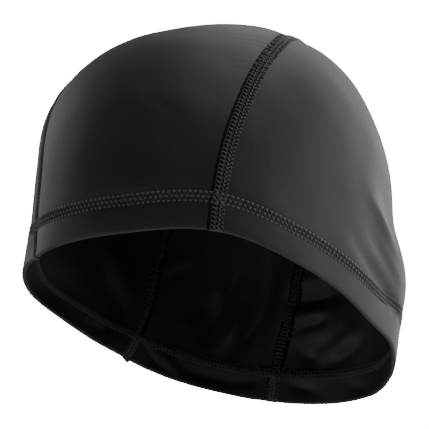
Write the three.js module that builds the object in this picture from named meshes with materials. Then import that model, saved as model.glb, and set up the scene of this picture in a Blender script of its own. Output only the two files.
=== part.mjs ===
import * as THREE from 'three';

// Helmet liner cap: a stretch skull cap of three panels joined by two flatlock seams.
// Millimetres. X is the wearer's left, -Y the front, Z up. The origin is the inside
// of the crown, where the head bears.
//
// Three angles place things on the cap, all seen from the middle of its widest level:
// azimuth goes round from the front (0) towards the wearer's left (90),
// elevation goes up from that level, and arc goes from the front (0) over the crown (90)
// to the back (180).
const degree = Math.PI / 180;

// Form as worn
const halfWidth = 81.5;
const frontReach = 90;
const backReach = 96;
const crownRise = 107;

// Depth of the cap from the outside of its crown down to the hem edge
const frontDepth = 107;
const napeDepth = 170.5;

// Cloth, turned hem and seams
const clothThickness = 1.0;
const hemBandHeight = 14.5;
const hemStepHeight = 1.2;
const seamWidth = 6.0;
const seamThickness = 0.5;
const seamCoreThickness = 0.5;
const seamClearance = 0.3;
const seamTuckDepth = 1.6;
const seamTuckWidth = 10;

// Loose cloth
const swellRise = 6.0;
const foldRise = 2.0;
const foldWidth = 9.0;
// Share of a fold's rise that is left at its two ends
const foldEndShare = 0.35;

// Roundness, as powers of superellipses: 2 is round, and more is squarer
const planPower = { front: 2.05, back: 2.1 };
const profilePower = { front: 2.3, side: 2.8, back: 2.15 };
// Share of its radius that the wall draws in at drawInDepth below the widest level
const drawIn = { front: 0, side: 0.09, back: 0.03 };
const drawInDepth = 50;

// Hem line: the share of the fall from the forehead to the nape at each azimuth
const hemLine = [
  { azimuth: 0, fall: 0.0 },
  { azimuth: 30, fall: 0.02 },
  { azimuth: 60, fall: 0.27 },
  { azimuth: 90, fall: 0.55 },
  { azimuth: 120, fall: 0.71 },
  { azimuth: 135, fall: 0.885 },
  { azimuth: 150, fall: 0.99 },
  { azimuth: 180, fall: 1.0 },
  { azimuth: 210, fall: 0.875 },
  { azimuth: 240, fall: 0.665 },
  { azimuth: 270, fall: 0.405 },
  { azimuth: 300, fall: 0.095 },
  { azimuth: 330, fall: 0.035 },
];

// Seams: how far each lies from the middle, in shares of the half width, along the arc.
// The cap is worn a little askew, so at the back the strip runs to the wearer's right.
const seamLine = [
  { arc: -30, left: 0.51, right: -0.73 },
  { arc: 0, left: 0.535, right: -0.71 },
  { arc: 25, left: 0.58, right: -0.675 },
  { arc: 45, left: 0.625, right: -0.7 },
  { arc: 62, left: 0.643, right: -0.68 },
  { arc: 74, left: 0.632, right: -0.62 },
  { arc: 90, left: 0.565, right: -0.565 },
  { arc: 115, left: 0.43, right: -0.61 },
  { arc: 145, left: 0.22, right: -0.72 },
  { arc: 170, left: 0.02, right: -0.805 },
  { arc: 190, left: -0.1, right: -0.838 },
  { arc: 212, left: -0.215, right: -0.872 },
  { arc: 235, left: -0.26, right: -0.9 },
];

// How far the seams draw the cloth in, in shares of the tuck depth. At the front the left seam
// stands out a little instead.
const seamTuckShares = [
  { arc: -30, left: -0.35, right: 1 },
  { arc: 40, left: -0.4, right: 1 },
  { arc: 72, left: 0.3, right: 1 },
  { arc: 95, left: 0.7, right: 1 },
  { arc: 150, left: 1, right: 1 },
  { arc: 235, left: 1, right: 1 },
];

// Swells: wide rises and hollows. Height above the hem is in shares of the crown's rise,
// the spans in shares of the half width and the rise in shares of the swell rise.
const swells = [
  { azimuth: -70, height: 0.0, alongSpan: 0.43, upSpan: 0.2, rise: 1.25 },
  { azimuth: -72, height: 0.78, alongSpan: 0.45, upSpan: 0.3, rise: 0.75 },
  { azimuth: -78, height: 0.45, alongSpan: 0.4, upSpan: 0.25, rise: -0.45 },
  { azimuth: 60, height: 0.19, alongSpan: 0.37, upSpan: 0.37, rise: -0.3 },
  { azimuth: 114, height: 0.26, alongSpan: 0.37, upSpan: 0.25, rise: 0.75 },
  { azimuth: 111, height: 0.54, alongSpan: 0.31, upSpan: 0.14, rise: -0.42 },
  { azimuth: 134, height: 0.05, alongSpan: 0.31, upSpan: 0.25, rise: 0.62 },
];

// Folds: creases and ridges from one place to another. Heights above the hem are in
// shares of the crown's rise, widths in shares of the fold width and rises in shares
// of the fold rise.
const folds = [
  { azimuth: 89, height: 0.52, toAzimuth: 107, toHeight: 0.4, width: 0.8, rise: 0.8 },
  { azimuth: 80, height: 0.25, toAzimuth: 107, toHeight: 0.14, width: 0.8, rise: -0.8 },
  { azimuth: 87, height: 0.38, toAzimuth: 104, toHeight: 0.26, width: 0.8, rise: -0.5 },
  { azimuth: 168, height: 0.32, toAzimuth: 184, toHeight: 0.28, width: 0.9, rise: 1.0 },
  { azimuth: 170, height: 0.52, toAzimuth: 187, toHeight: 0.49, width: 0.9, rise: 0.9 },
  { azimuth: 160, height: 0.23, toAzimuth: 170, toHeight: 0.44, width: 0.9, rise: -0.8 },
  { azimuth: -146, height: 0.21, toAzimuth: -151, toHeight: 0.48, width: 0.9, rise: 0.8 },
  { azimuth: -154, height: 0.26, toAzimuth: -159, toHeight: 0.46, width: 0.8, rise: -0.7 },
  { azimuth: -113, height: 0.16, toAzimuth: -107, toHeight: 0.44, width: 0.9, rise: 0.7 },
];

// Grid steps. Beside a seam the cells are narrowed to a share of a step.
const stripSteps = 14;
const middleSteps = 46;
const sideRiseSteps = 10;
const rimSteps = 4;
const narrowStep = 0.45;

// Rows of each panel at the hem, by their height above the hem edge, with the cloth's layers
const hemRows = [
  { height: clothThickness, layers: 2 },
  { height: hemBandHeight / 2, layers: 2 },
  { height: hemBandHeight, layers: 2 },
  { height: hemBandHeight + hemStepHeight, layers: 1 },
];

const cloth = new THREE.MeshStandardMaterial({ color: 0x1c1c1d, roughness: 0.62, metalness: 0 });
const thread = new THREE.MeshStandardMaterial({ color: 0x242425, roughness: 0.8, metalness: 0 });

// Smooth curve through the rows of a table; a closed table repeats after its period
function readTable(rows, along, column, at, period = 0) {
  const count = rows.length;
  const row = (index) => {
    const turns = period ? Math.floor(index / count) : 0;
    const held = period ? index - turns * count : THREE.MathUtils.clamp(index, 0, count - 1);
    return { x: rows[held][along] + turns * period, y: rows[held][column] };
  };
  const place = period ? THREE.MathUtils.euclideanModulo(at, period)
    : THREE.MathUtils.clamp(at, rows[0][along], rows[count - 1][along]);
  let start = 0;
  while (start < count - (period ? 1 : 2) && row(start + 1).x <= place) start += 1;
  const [before, from, to, after] = [-1, 0, 1, 2].map((step) => row(start + step));
  const slope = (a, b) => (b.x === a.x ? 0 : (b.y - a.y) / (b.x - a.x));
  const span = to.x - from.x;
  const t = (place - from.x) / span;
  const leave = slope(before, to) * span;
  const arrive = slope(from, after) * span;
  return from.y * (2 * t ** 3 - 3 * t ** 2 + 1) + leave * (t ** 3 - 2 * t ** 2 + t)
    + to.y * (3 * t ** 2 - 2 * t ** 3) + arrive * (t ** 3 - t ** 2);
}

// Value that changes from the front or back to the side as the azimuth does
function byFacing(azimuth, { front, side, back }) {
  const facing = Math.cos(azimuth);
  const end = facing > 0 ? front : back;
  return side + (end - side) * facing ** 2;
}

function planRadius(azimuth) {
  const facing = Math.cos(azimuth);
  const reach = facing > 0 ? frontReach : backReach;
  const power = THREE.MathUtils.lerp(planPower.back, planPower.front, (1 + facing) / 2);
  const across = Math.abs(Math.sin(azimuth) / halfWidth) ** power;
  return (across + Math.abs(facing / reach) ** power) ** (-1 / power);
}

// Point of the plain form in a direction from the middle of the widest level
function formPoint(azimuth, elevation) {
  const radius = planRadius(azimuth);
  let out = radius;
  let height = radius * Math.tan(Math.min(elevation, 0));
  if (elevation > 0) {
    const power = byFacing(azimuth, profilePower);
    const level = Math.max(Math.cos(elevation), 1e-9) / radius;
    const rise = Math.sin(elevation) / crownRise;
    const reach = (level ** power + rise ** power) ** (-1 / power);
    out = reach * Math.cos(elevation);
    height = reach * Math.sin(elevation);
  } else {
    out *= 1 - byFacing(azimuth, drawIn) * (height / drawInDepth) ** 2;
  }
  return new THREE.Vector3(out * Math.sin(azimuth), -out * Math.cos(azimuth), height);
}

// Elevation at which the plain form reaches a height
function elevationAt(azimuth, height) {
  const radius = planRadius(azimuth);
  if (height <= 0) return Math.atan2(height, radius);
  const power = byFacing(azimuth, profilePower);
  const level = (1 - Math.min(height / crownRise, 1) ** power) ** (1 / power);
  return Math.atan2(height, radius * level);
}

function hemHeight(azimuth) {
  const fall = readTable(hemLine, 'azimuth', 'fall', azimuth / degree, 360);
  return crownRise - THREE.MathUtils.lerp(frontDepth, napeDepth, fall);
}

const azimuthOf = (direction) => Math.atan2(direction.x, -direction.y);

// Azimuth counted from the front round one side, past the back
function turnOf(direction, turnSign) {
  const azimuth = azimuthOf(direction) * turnSign;
  return azimuth < -Math.PI / 2 ? azimuth + 2 * Math.PI : azimuth;
}

const elevationOf = (direction) => Math.atan2(direction.z, Math.hypot(direction.x, direction.y));
const lateralOf = (direction) => Math.atan2(direction.x, Math.hypot(direction.y, direction.z));

function arcOf(direction) {
  const arc = Math.atan2(direction.z, -direction.y);
  return arc < -Math.PI / 2 ? arc + 2 * Math.PI : arc;
}

function fromAzimuth(azimuth, elevation) {
  const level = Math.cos(elevation);
  return new THREE.Vector3(level * Math.sin(azimuth), -level * Math.cos(azimuth), Math.sin(elevation));
}

function fromArc(arc, lateral) {
  const level = Math.cos(lateral);
  return new THREE.Vector3(Math.sin(lateral), -level * Math.cos(arc), level * Math.sin(arc));
}

// Direction to a place on the cap, by its azimuth and its height above the hem edge
function aboveHem(azimuth, height) {
  return fromAzimuth(azimuth, elevationAt(azimuth, hemHeight(azimuth) + height));
}

// Value between two others at which a test starts to hold
const halvings = 40;

function halve(low, high, isPast) {
  for (let step = 0; step < halvings; step += 1) {
    const middle = (low + high) / 2;
    if (isPast(middle)) high = middle;
    else low = middle;
  }
  return (low + high) / 2;
}

// Seam courses: the lateral angle of each seam, worked out once in even steps of the arc
const courseStart = seamLine[0].arc;
const courseEnd = seamLine[seamLine.length - 1].arc;
const courseStep = 2.5;
const widestLateral = 85 * degree;

function seamCourse(side) {
  const rows = [];
  for (let arc = courseStart; arc <= courseEnd; arc += courseStep) {
    const offset = readTable(seamLine, 'arc', side, arc) * halfWidth;
    const isPast = (lateral) => {
      const direction = fromArc(arc * degree, lateral);
      return formPoint(azimuthOf(direction), elevationOf(direction)).x > offset;
    };
    rows.push({ arc, lateral: halve(-widestLateral, widestLateral, isPast) });
  }
  return rows;
}

const seamCourses = { left: seamCourse('left'), right: seamCourse('right') };
const seamLateral = (side, arc) => readTable(seamCourses[side], 'arc', 'lateral', arc / degree);
const seamDirection = (side, arc) => fromArc(arc, seamLateral(side, arc));

const placedSwells = swells.map((swell) => {
  const azimuth = swell.azimuth * degree;
  const direction = aboveHem(azimuth, swell.height * crownRise);
  return {
    centre: formPoint(azimuth, elevationOf(direction)),
    along: new THREE.Vector3(Math.cos(azimuth), Math.sin(azimuth), 0),
    alongSpan: swell.alongSpan * halfWidth,
    upSpan: swell.upSpan * halfWidth,
    rise: swell.rise * swellRise,
  };
});

const placedFolds = folds.map((fold) => {
  const ends = [[fold.azimuth, fold.height], [fold.toAzimuth, fold.toHeight]].map(([turn, height]) => {
    const azimuth = turn * degree;
    return formPoint(azimuth, elevationOf(aboveHem(azimuth, height * crownRise)));
  });
  return {
    start: ends[0],
    along: ends[1].clone().sub(ends[0]).normalize(),
    length: ends[0].distanceTo(ends[1]),
    width: fold.width * foldWidth,
    rise: fold.rise * foldRise,
  };
});

function seamTuck(point) {
  const arc = arcOf(point);
  const spread = (side) => {
    const away = (lateralOf(point) - seamLateral(side, arc)) * point.length();
    const share = readTable(seamTuckShares, 'arc', side, arc / degree);
    return share * Math.exp(-((away / seamTuckWidth) ** 2));
  };
  return -seamTuckDepth * (spread('left') + spread('right'));
}

function swellAt(point, swell) {
  const away = point.clone().sub(swell.centre);
  const along = away.dot(swell.along);
  const up = away.lengthSq() - along ** 2;
  return swell.rise * Math.exp(-((along / swell.alongSpan) ** 2) - up / swell.upSpan ** 2);
}

// A fold swells from its ends to its middle and fades over its width on every side
function foldAt(point, fold) {
  if (point.dot(fold.start) < 0) return 0;
  const away = point.clone().sub(fold.start);
  const across = point.clone().cross(fold.along).normalize();
  const along = away.dot(fold.along);
  const inside = THREE.MathUtils.clamp(along, 0, fold.length);
  const fade = Math.exp(-((away.dot(across) / fold.width) ** 2) - ((along - inside) / fold.width) ** 2);
  const middle = Math.sin(Math.PI * inside / fold.length);
  return fold.rise * fade * THREE.MathUtils.lerp(foldEndShare, 1, middle);
}

// Point of the cap's outer face in a direction
function outerPoint(direction) {
  const point = formPoint(azimuthOf(direction), elevationOf(direction));
  const reach = (frontReach + backReach) / 2;
  const rise = Math.max(point.z, 0) / crownRise ** 2;
  const out = new THREE.Vector3(point.x / halfWidth ** 2, point.y / reach ** 2, rise).normalize();
  let relief = seamTuck(point);
  for (const swell of placedSwells) relief += swellAt(point, swell);
  for (const fold of placedFolds) relief += foldAt(point, fold);
  return point.addScaledVector(out, relief);
}

function outwardNormal(direction) {
  const step = 0.01;
  const sideways = new THREE.Vector3(-direction.y, direction.x, 0).normalize();
  const upwards = direction.clone().cross(sideways).normalize();
  const slope = (along) => outerPoint(direction.clone().addScaledVector(along, step).normalize())
    .sub(outerPoint(direction.clone().addScaledVector(along, -step).normalize()));
  const normal = slope(sideways).cross(slope(upwards)).normalize();
  return normal.dot(direction) < 0 ? normal.negate() : normal;
}

// Arc at which a seam stands a height above the hem edge, at the front or the back
function seamArcAbove(side, atBack, height) {
  const crown = 90 * degree;
  const end = (atBack ? courseEnd : courseStart) * degree;
  return halve(crown, end, (arc) => {
    const direction = seamDirection(side, arc);
    const azimuth = azimuthOf(direction);
    return formPoint(azimuth, elevationOf(direction)).z < hemHeight(azimuth) + height;
  });
}

// Shares of the way along a seam between its two hem bands. A side panel has its corners
// at sideRiseSteps from either end, with a narrow step on both sides of each.
const evenSteps = Array.from({ length: middleSteps + 1 }, (_, step) => step);
const cornerSteps = [sideRiseSteps, middleSteps - sideRiseSteps];
const narrowSteps = cornerSteps.flatMap((step) => [step - narrowStep, step + narrowStep]);
const stationShares = [...evenSteps, ...narrowSteps].sort((a, b) => a - b).map((step) => step / middleSteps);

// Stations along a seam, from its front end to its back end, with the cloth's layers at each
function seamStations(side) {
  const front = hemRows.map((row) => ({ ...row, arc: seamArcAbove(side, false, row.height) }));
  const back = hemRows.map((row) => ({ ...row, arc: seamArcAbove(side, true, row.height) }));
  const [from, to] = [front.at(-1).arc, back.at(-1).arc];
  const middle = stationShares.slice(1, -1).map((share) => {
    return { layers: 1, arc: THREE.MathUtils.lerp(from, to, share) };
  });
  return [...front, ...middle, ...back.reverse()].map((station) => {
    return { ...station, direction: seamDirection(side, station.arc) };
  });
}

const stations = { left: seamStations('left'), right: seamStations('right') };
const lastStation = stations.left.length - 1;
const lastHemRow = hemRows.length - 1;

// Direction beside a seam station, moved towards the wearer's left by a distance on the cloth.
// In the hem's rows it stays at its height above the hem edge.
function besideSeam(side, index, distance) {
  const { direction, height } = stations[side][index];
  const ahead = outerPoint(stations[side][Math.min(index + 1, lastStation)].direction);
  const behind = outerPoint(stations[side][Math.max(index - 1, 0)].direction);
  const across = ahead.sub(behind).cross(outwardNormal(direction)).normalize();
  if (across.x < 0) across.negate();
  const beside = outerPoint(direction).addScaledVector(across, distance).normalize();
  return height === undefined ? beside : aboveHem(azimuthOf(beside), height);
}

// Shares from 0 to 1 of the shares between two of them
function sharesBetween(shares, from, to) {
  return shares.slice(from, to + 1).map((share) => (share - shares[from]) / (shares[to] - shares[from]));
}

// Patch between four lines of pairs; the ends of the lines meet at its corners
function patch(lines, column, row, u, v) {
  const { bottom, top, first, last } = lines;
  const ends = [bottom[0], bottom.at(-1), top[0], top.at(-1)];
  return [0, 1].map((axis) => {
    const up = bottom[column][axis] * (1 - v) + top[column][axis] * v;
    const over = first[row][axis] * (1 - u) + last[row][axis] * u;
    const lower = ends[0][axis] * (1 - u) + ends[1][axis] * u;
    const upper = ends[2][axis] * (1 - u) + ends[3][axis] * u;
    return up + over - lower * (1 - v) - upper * v;
  });
}

// Row of directions along the hem from one direction to another, at one height above its edge
function hemRow(start, end, turnSign, height, shares) {
  const [from, to] = [start, end].map((direction) => turnOf(direction, turnSign));
  return shares.map((share) => aboveHem(turnSign * THREE.MathUtils.lerp(from, to, share), height));
}

// Columns of a panel, each running up from the hem, as directions
function turnRows(rows) {
  return rows[0].map((_, column) => rows.map((row) => row[column]));
}

// Points of a column's closed outline: the outer face, the inner face and the rounded hem edges
function columnOutline(column, layers, hemAtEnd) {
  const outer = column.map(outerPoint);
  const normals = column.map(outwardNormal);
  const inner = outer.map((point, row) => {
    return point.clone().addScaledVector(normals[row], -layers[row] * clothThickness);
  });
  const rim = (end, neighbour) => {
    const middle = outer[end].clone().add(inner[end]).multiplyScalar(0.5);
    const radius = outer[end].distanceTo(inner[end]) / 2;
    const out = outer[end].clone().sub(middle).normalize();
    const down = outer[end].clone().sub(outer[neighbour]).normalize();
    return Array.from({ length: rimSteps - 1 }, (_, step) => {
      const turn = Math.PI * (step + 1) / rimSteps;
      return middle.clone().addScaledVector(out, radius * Math.cos(turn))
        .addScaledVector(down, radius * Math.sin(turn));
    });
  };
  const last = column.length - 1;
  const endRim = hemAtEnd ? rim(last, last - 1) : [];
  const startRim = rim(0, 1).reverse();
  return [...outer, ...endRim, ...inner.reverse(), ...startRim];
}

// Faces that close a column's outline, in the outline's own order
function columnFaces(rowCount, hemAtEnd) {
  const last = rowCount - 1;
  const rimCount = rimSteps - 1;
  const endRim = hemAtEnd ? rimCount : 0;
  const innerOf = (row) => 2 * last + endRim + 1 - row;
  const faces = [];
  for (let row = 0; row < last; row += 1) {
    faces.push([row, row + 1, innerOf(row + 1)], [row, innerOf(row + 1), innerOf(row)]);
  }
  for (let step = 0; step < rimCount; step += 1) {
    faces.push([0, innerOf(0) + step, innerOf(0) + step + 1]);
  }
  for (let step = 0; step < endRim; step += 1) {
    faces.push([last, last + 1 + step, last + 2 + step]);
  }
  return faces;
}

// Closed body through a row of closed outlines, with its two ends closed by the given faces
function closedBody(outlines, endFaces) {
  const size = outlines[0].length;
  const positions = outlines.flat().flatMap((point) => point.toArray());
  const faces = [];
  for (let outline = 0; outline < outlines.length - 1; outline += 1) {
    for (let index = 0; index < size; index += 1) {
      const next = (index + 1) % size;
      const [here, there] = [outline * size, (outline + 1) * size];
      faces.push([here + index, here + next, there + next], [here + index, there + next, there + index]);
    }
  }
  const lastStart = (outlines.length - 1) * size;
  for (const [a, b, c] of endFaces) {
    faces.push([c, b, a], [lastStart + a, lastStart + b, lastStart + c]);
  }
  const corner = (index) => new THREE.Vector3().fromArray(positions, 3 * index);
  const volume = faces.reduce((sum, [a, b, c]) => sum + corner(a).dot(corner(b).cross(corner(c))), 0);
  const outwards = volume < 0 ? faces.map(([a, b, c]) => [a, c, b]) : faces;
  const geometry = new THREE.BufferGeometry();
  geometry.setAttribute('position', new THREE.Float32BufferAttribute(positions, 3));
  geometry.setIndex(outwards.flat());
  geometry.computeVertexNormals();
  return geometry;
}

function namedMesh(name, geometry, material) {
  const mesh = new THREE.Mesh(geometry, material);
  mesh.name = name;
  return mesh;
}

// Distance from a seam's middle line to the edge of the cloth beside it
const edgeDistance = seamCoreThickness / 2 + seamClearance;

function crownPanel() {
  const rightEdge = stations.right.map((_, index) => besideSeam('right', index, edgeDistance));
  const leftEdge = stations.left.map((_, index) => besideSeam('left', index, -edgeDistance));
  const evenColumns = Array.from({ length: stripSteps + 1 }, (_, step) => step / stripSteps);
  const narrow = narrowStep / stripSteps;
  const shares = [...evenColumns, narrow, 1 - narrow].sort((a, b) => a - b);
  const frontRows = hemRows.map((row, index) => {
    return hemRow(rightEdge[index], leftEdge[index], 1, row.height, shares);
  });
  const backRows = hemRows.map((row, index) => {
    const at = lastStation - index;
    return hemRow(rightEdge[at], leftEdge[at], -1, row.height, shares);
  });
  const inArc = (direction) => [arcOf(direction), lateralOf(direction)];
  const lines = {
    bottom: frontRows[lastHemRow].map(inArc),
    top: backRows[lastHemRow].map(inArc),
    first: rightEdge.slice(lastHemRow, lastStation - lastHemRow + 1).map(inArc),
    last: leftEdge.slice(lastHemRow, lastStation - lastHemRow + 1).map(inArc),
  };
  const middleRows = stationShares.slice(1, -1).map((v, index) => {
    return shares.map((u, column) => fromArc(...patch(lines, column, index + 1, u, v)));
  });
  const rows = [...frontRows, ...middleRows, ...backRows.reverse()];
  const layers = stations.left.map((station) => station.layers);
  const outlines = turnRows(rows).map((column) => columnOutline(column, layers, true));
  return closedBody(outlines, columnFaces(rows.length, true));
}

// A side panel stands on the hem between the two ends of its seam: the seam's low parts
// are its front and back edges, and the seam's arch between the corners is its top
function sidePanel(side) {
  const turnSign = side === 'left' ? 1 : -1;
  const edge = stations[side].map((_, index) => besideSeam(side, index, turnSign * edgeDistance));
  const [frontCorner, backCorner] = cornerSteps.map((step) => stationShares.indexOf(step / middleSteps));
  const acrossShares = sharesBetween(stationShares, frontCorner, backCorner);
  const upShares = sharesBetween(stationShares, 0, frontCorner);
  const lowRows = hemRows.map((row, index) => {
    return hemRow(edge[index], edge[lastStation - index], turnSign, row.height, acrossShares);
  });
  const inTurn = (direction) => [turnOf(direction, turnSign), elevationOf(direction)];
  const span = (from, to) => edge.slice(lastHemRow + from, lastHemRow + to + 1).map(inTurn);
  const lines = {
    bottom: lowRows[lastHemRow].map(inTurn),
    top: span(frontCorner, backCorner),
    first: span(0, frontCorner),
    last: span(backCorner, stationShares.length - 1).reverse(),
  };
  const highRows = upShares.slice(1).map((v, index) => {
    return acrossShares.map((u, column) => {
      const [turn, elevation] = patch(lines, column, index + 1, u, v);
      return fromAzimuth(turn * turnSign, elevation);
    });
  });
  const layers = [...hemRows.map((row) => row.layers), ...highRows.map(() => 1)];
  const outlines = turnRows([...lowRows, ...highRows]).map((column) => columnOutline(column, layers, false));
  return closedBody(outlines, columnFaces(layers.length, false));
}

// Flatlock seam: a band of cover threads on each face of the cloth, joined through the gap
// between the two panels
function flatlockSeam(side) {
  const outlines = stations[side].map(({ layers }, index) => {
    const depth = layers * clothThickness;
    const at = (distance, height) => {
      const direction = besideSeam(side, index, distance);
      return outerPoint(direction).addScaledVector(outwardNormal(direction), height);
    };
    const outerBase = seamClearance;
    const innerBase = -depth - seamClearance;
    const half = seamWidth / 2;
    const core = seamCoreThickness / 2;
    return [
      at(-half, outerBase + seamThickness), at(half, outerBase + seamThickness),
      at(half, outerBase), at(core, outerBase), at(core, innerBase), at(half, innerBase),
      at(half, innerBase - seamThickness), at(-half, innerBase - seamThickness),
      at(-half, innerBase), at(-core, innerBase), at(-core, outerBase), at(-half, outerBase),
    ];
  });
  const outerBand = [[0, 1, 2], [0, 2, 3], [0, 3, 10], [0, 10, 11]];
  const core = [[3, 4, 9], [3, 9, 10]];
  const innerBand = [[7, 8, 9], [7, 9, 4], [7, 4, 5], [7, 5, 6]];
  return closedBody(outlines, [...outerBand, ...core, ...innerBand]);
}

// The whole cap hangs from the inside of its crown
const cap = new THREE.Group();
cap.position.z = clothThickness - crownRise;
cap.add(namedMesh('crown_panel', crownPanel(), cloth));
cap.add(namedMesh('side_panel_left', sidePanel('left'), cloth));
cap.add(namedMesh('side_panel_right', sidePanel('right'), cloth));
cap.add(namedMesh('seam_left', flatlockSeam('left'), thread));
cap.add(namedMesh('seam_right', flatlockSeam('right'), thread));

const root = new THREE.Group();
root.add(cap);

export default root;
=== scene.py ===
"""Helmet liner cap: a stretch skull cap of three jersey panels, two flatlock seams and a stitched hem."""
import math
from collections import namedtuple

import bpy
import numpy as np
from bpy.props import FloatProperty, FloatVectorProperty, IntProperty, PointerProperty
from mathutils import Matrix, Vector


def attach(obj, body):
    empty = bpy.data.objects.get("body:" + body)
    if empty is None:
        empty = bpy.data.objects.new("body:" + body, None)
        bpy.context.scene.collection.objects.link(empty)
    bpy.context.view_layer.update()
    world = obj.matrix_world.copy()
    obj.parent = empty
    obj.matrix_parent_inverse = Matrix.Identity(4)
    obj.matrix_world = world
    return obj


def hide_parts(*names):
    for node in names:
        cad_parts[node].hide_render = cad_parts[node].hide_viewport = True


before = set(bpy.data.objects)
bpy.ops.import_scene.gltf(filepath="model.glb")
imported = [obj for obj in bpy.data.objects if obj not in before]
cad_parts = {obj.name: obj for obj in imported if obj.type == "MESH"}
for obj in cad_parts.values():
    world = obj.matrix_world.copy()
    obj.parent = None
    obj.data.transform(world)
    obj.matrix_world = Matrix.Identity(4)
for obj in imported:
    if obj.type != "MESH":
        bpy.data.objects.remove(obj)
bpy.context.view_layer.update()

bl_info = {
    "name": "Helmet liner cap",
    "version": (1, 0, 0),
    "blender": (4, 5, 0),
    "location": "View3D > Sidebar > Liner cap",
    "description": "Dresses a stretch helmet liner cap with its panels, seams and hem stitching",
    "category": "Object",
}

MM = 0.001
DEGREE = math.pi / 180
TINY = 1e-9

# Metres. X is the wearer's left, -Y the front, Z up, and the origin is the inside of the crown.
# Azimuth goes round from the front (0) towards the wearer's left (90). Arc goes from the
# front (0) over the crown (90) to the back (180). Both are seen from the widest level's middle.

# Roundness, as powers of superellipses, and the share that the wall draws in lower down
PLAN_POWER = {"front": 2.05, "back": 2.1}
PROFILE_POWER = {"front": 2.3, "side": 2.8, "back": 2.15}
DRAW_IN = {"front": 0.0, "side": 0.09, "back": 0.03}
DRAW_IN_DEPTH = 50 * MM

# Hem line: azimuth in degrees, and the share of the fall from the forehead to the nape
HEM_LINE = [
    (0, 0.0), (30, 0.02), (60, 0.27), (90, 0.55), (120, 0.71), (135, 0.885), (150, 0.99),
    (180, 1.0), (210, 0.875), (240, 0.665), (270, 0.405), (300, 0.095), (330, 0.035),
]

# Seam lines: arc in degrees, and the distance from the middle in shares of the half width
SEAM_LINE = {
    "left": [
        (-30, 0.51), (0, 0.535), (25, 0.58), (45, 0.625), (62, 0.643), (74, 0.632), (90, 0.565),
        (115, 0.43), (145, 0.22), (170, 0.02), (190, -0.1), (212, -0.215), (235, -0.26),
    ],
    "right": [
        (-30, -0.73), (0, -0.71), (25, -0.675), (45, -0.7), (62, -0.68), (74, -0.62), (90, -0.565),
        (115, -0.61), (145, -0.72), (170, -0.805), (190, -0.838), (212, -0.872), (235, -0.9),
    ],
}

# How far the seams draw the cloth in: arc in degrees, and shares of the tuck depth. At the
# front the left seam stands out a little instead.
SEAM_TUCK = {
    "left": [(-30, -0.35), (40, -0.4), (72, 0.3), (95, 0.7), (150, 1), (235, 1)],
    "right": [(-30, 1), (235, 1)],
}

# Swells: azimuth in degrees, height above the hem in shares of the crown's rise, spans in shares of the
# half width, and rise in shares of the swell rise
Swell = namedtuple("Swell", "azimuth height along_span up_span rise")
SWELLS = [
    Swell(-70, 0.0, 0.43, 0.2, 1.25),
    Swell(-72, 0.78, 0.45, 0.3, 0.75),
    Swell(-78, 0.45, 0.4, 0.25, -0.45),
    Swell(60, 0.19, 0.37, 0.37, -0.3),
    Swell(114, 0.26, 0.37, 0.25, 0.75),
    Swell(111, 0.54, 0.31, 0.14, -0.42),
    Swell(134, 0.05, 0.31, 0.25, 0.62),
]

# Folds: azimuths and heights of both ends, and width and rise in shares of the fold width and fold rise
Fold = namedtuple("Fold", "azimuth height to_azimuth to_height width rise")
FOLDS = [
    Fold(89, 0.52, 107, 0.4, 0.8, 0.8),
    Fold(80, 0.25, 107, 0.14, 0.8, -0.8),
    Fold(87, 0.38, 104, 0.26, 0.8, -0.5),
    Fold(168, 0.32, 184, 0.28, 0.9, 1.0),
    Fold(170, 0.52, 187, 0.49, 0.9, 0.9),
    Fold(160, 0.23, 170, 0.44, 0.9, -0.8),
    Fold(-146, 0.21, -151, 0.48, 0.9, 0.8),
    Fold(-154, 0.26, -159, 0.46, 0.8, -0.7),
    Fold(-113, 0.16, -107, 0.44, 0.9, 0.7),
]
FOLD_END_SHARE = 0.35

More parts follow.
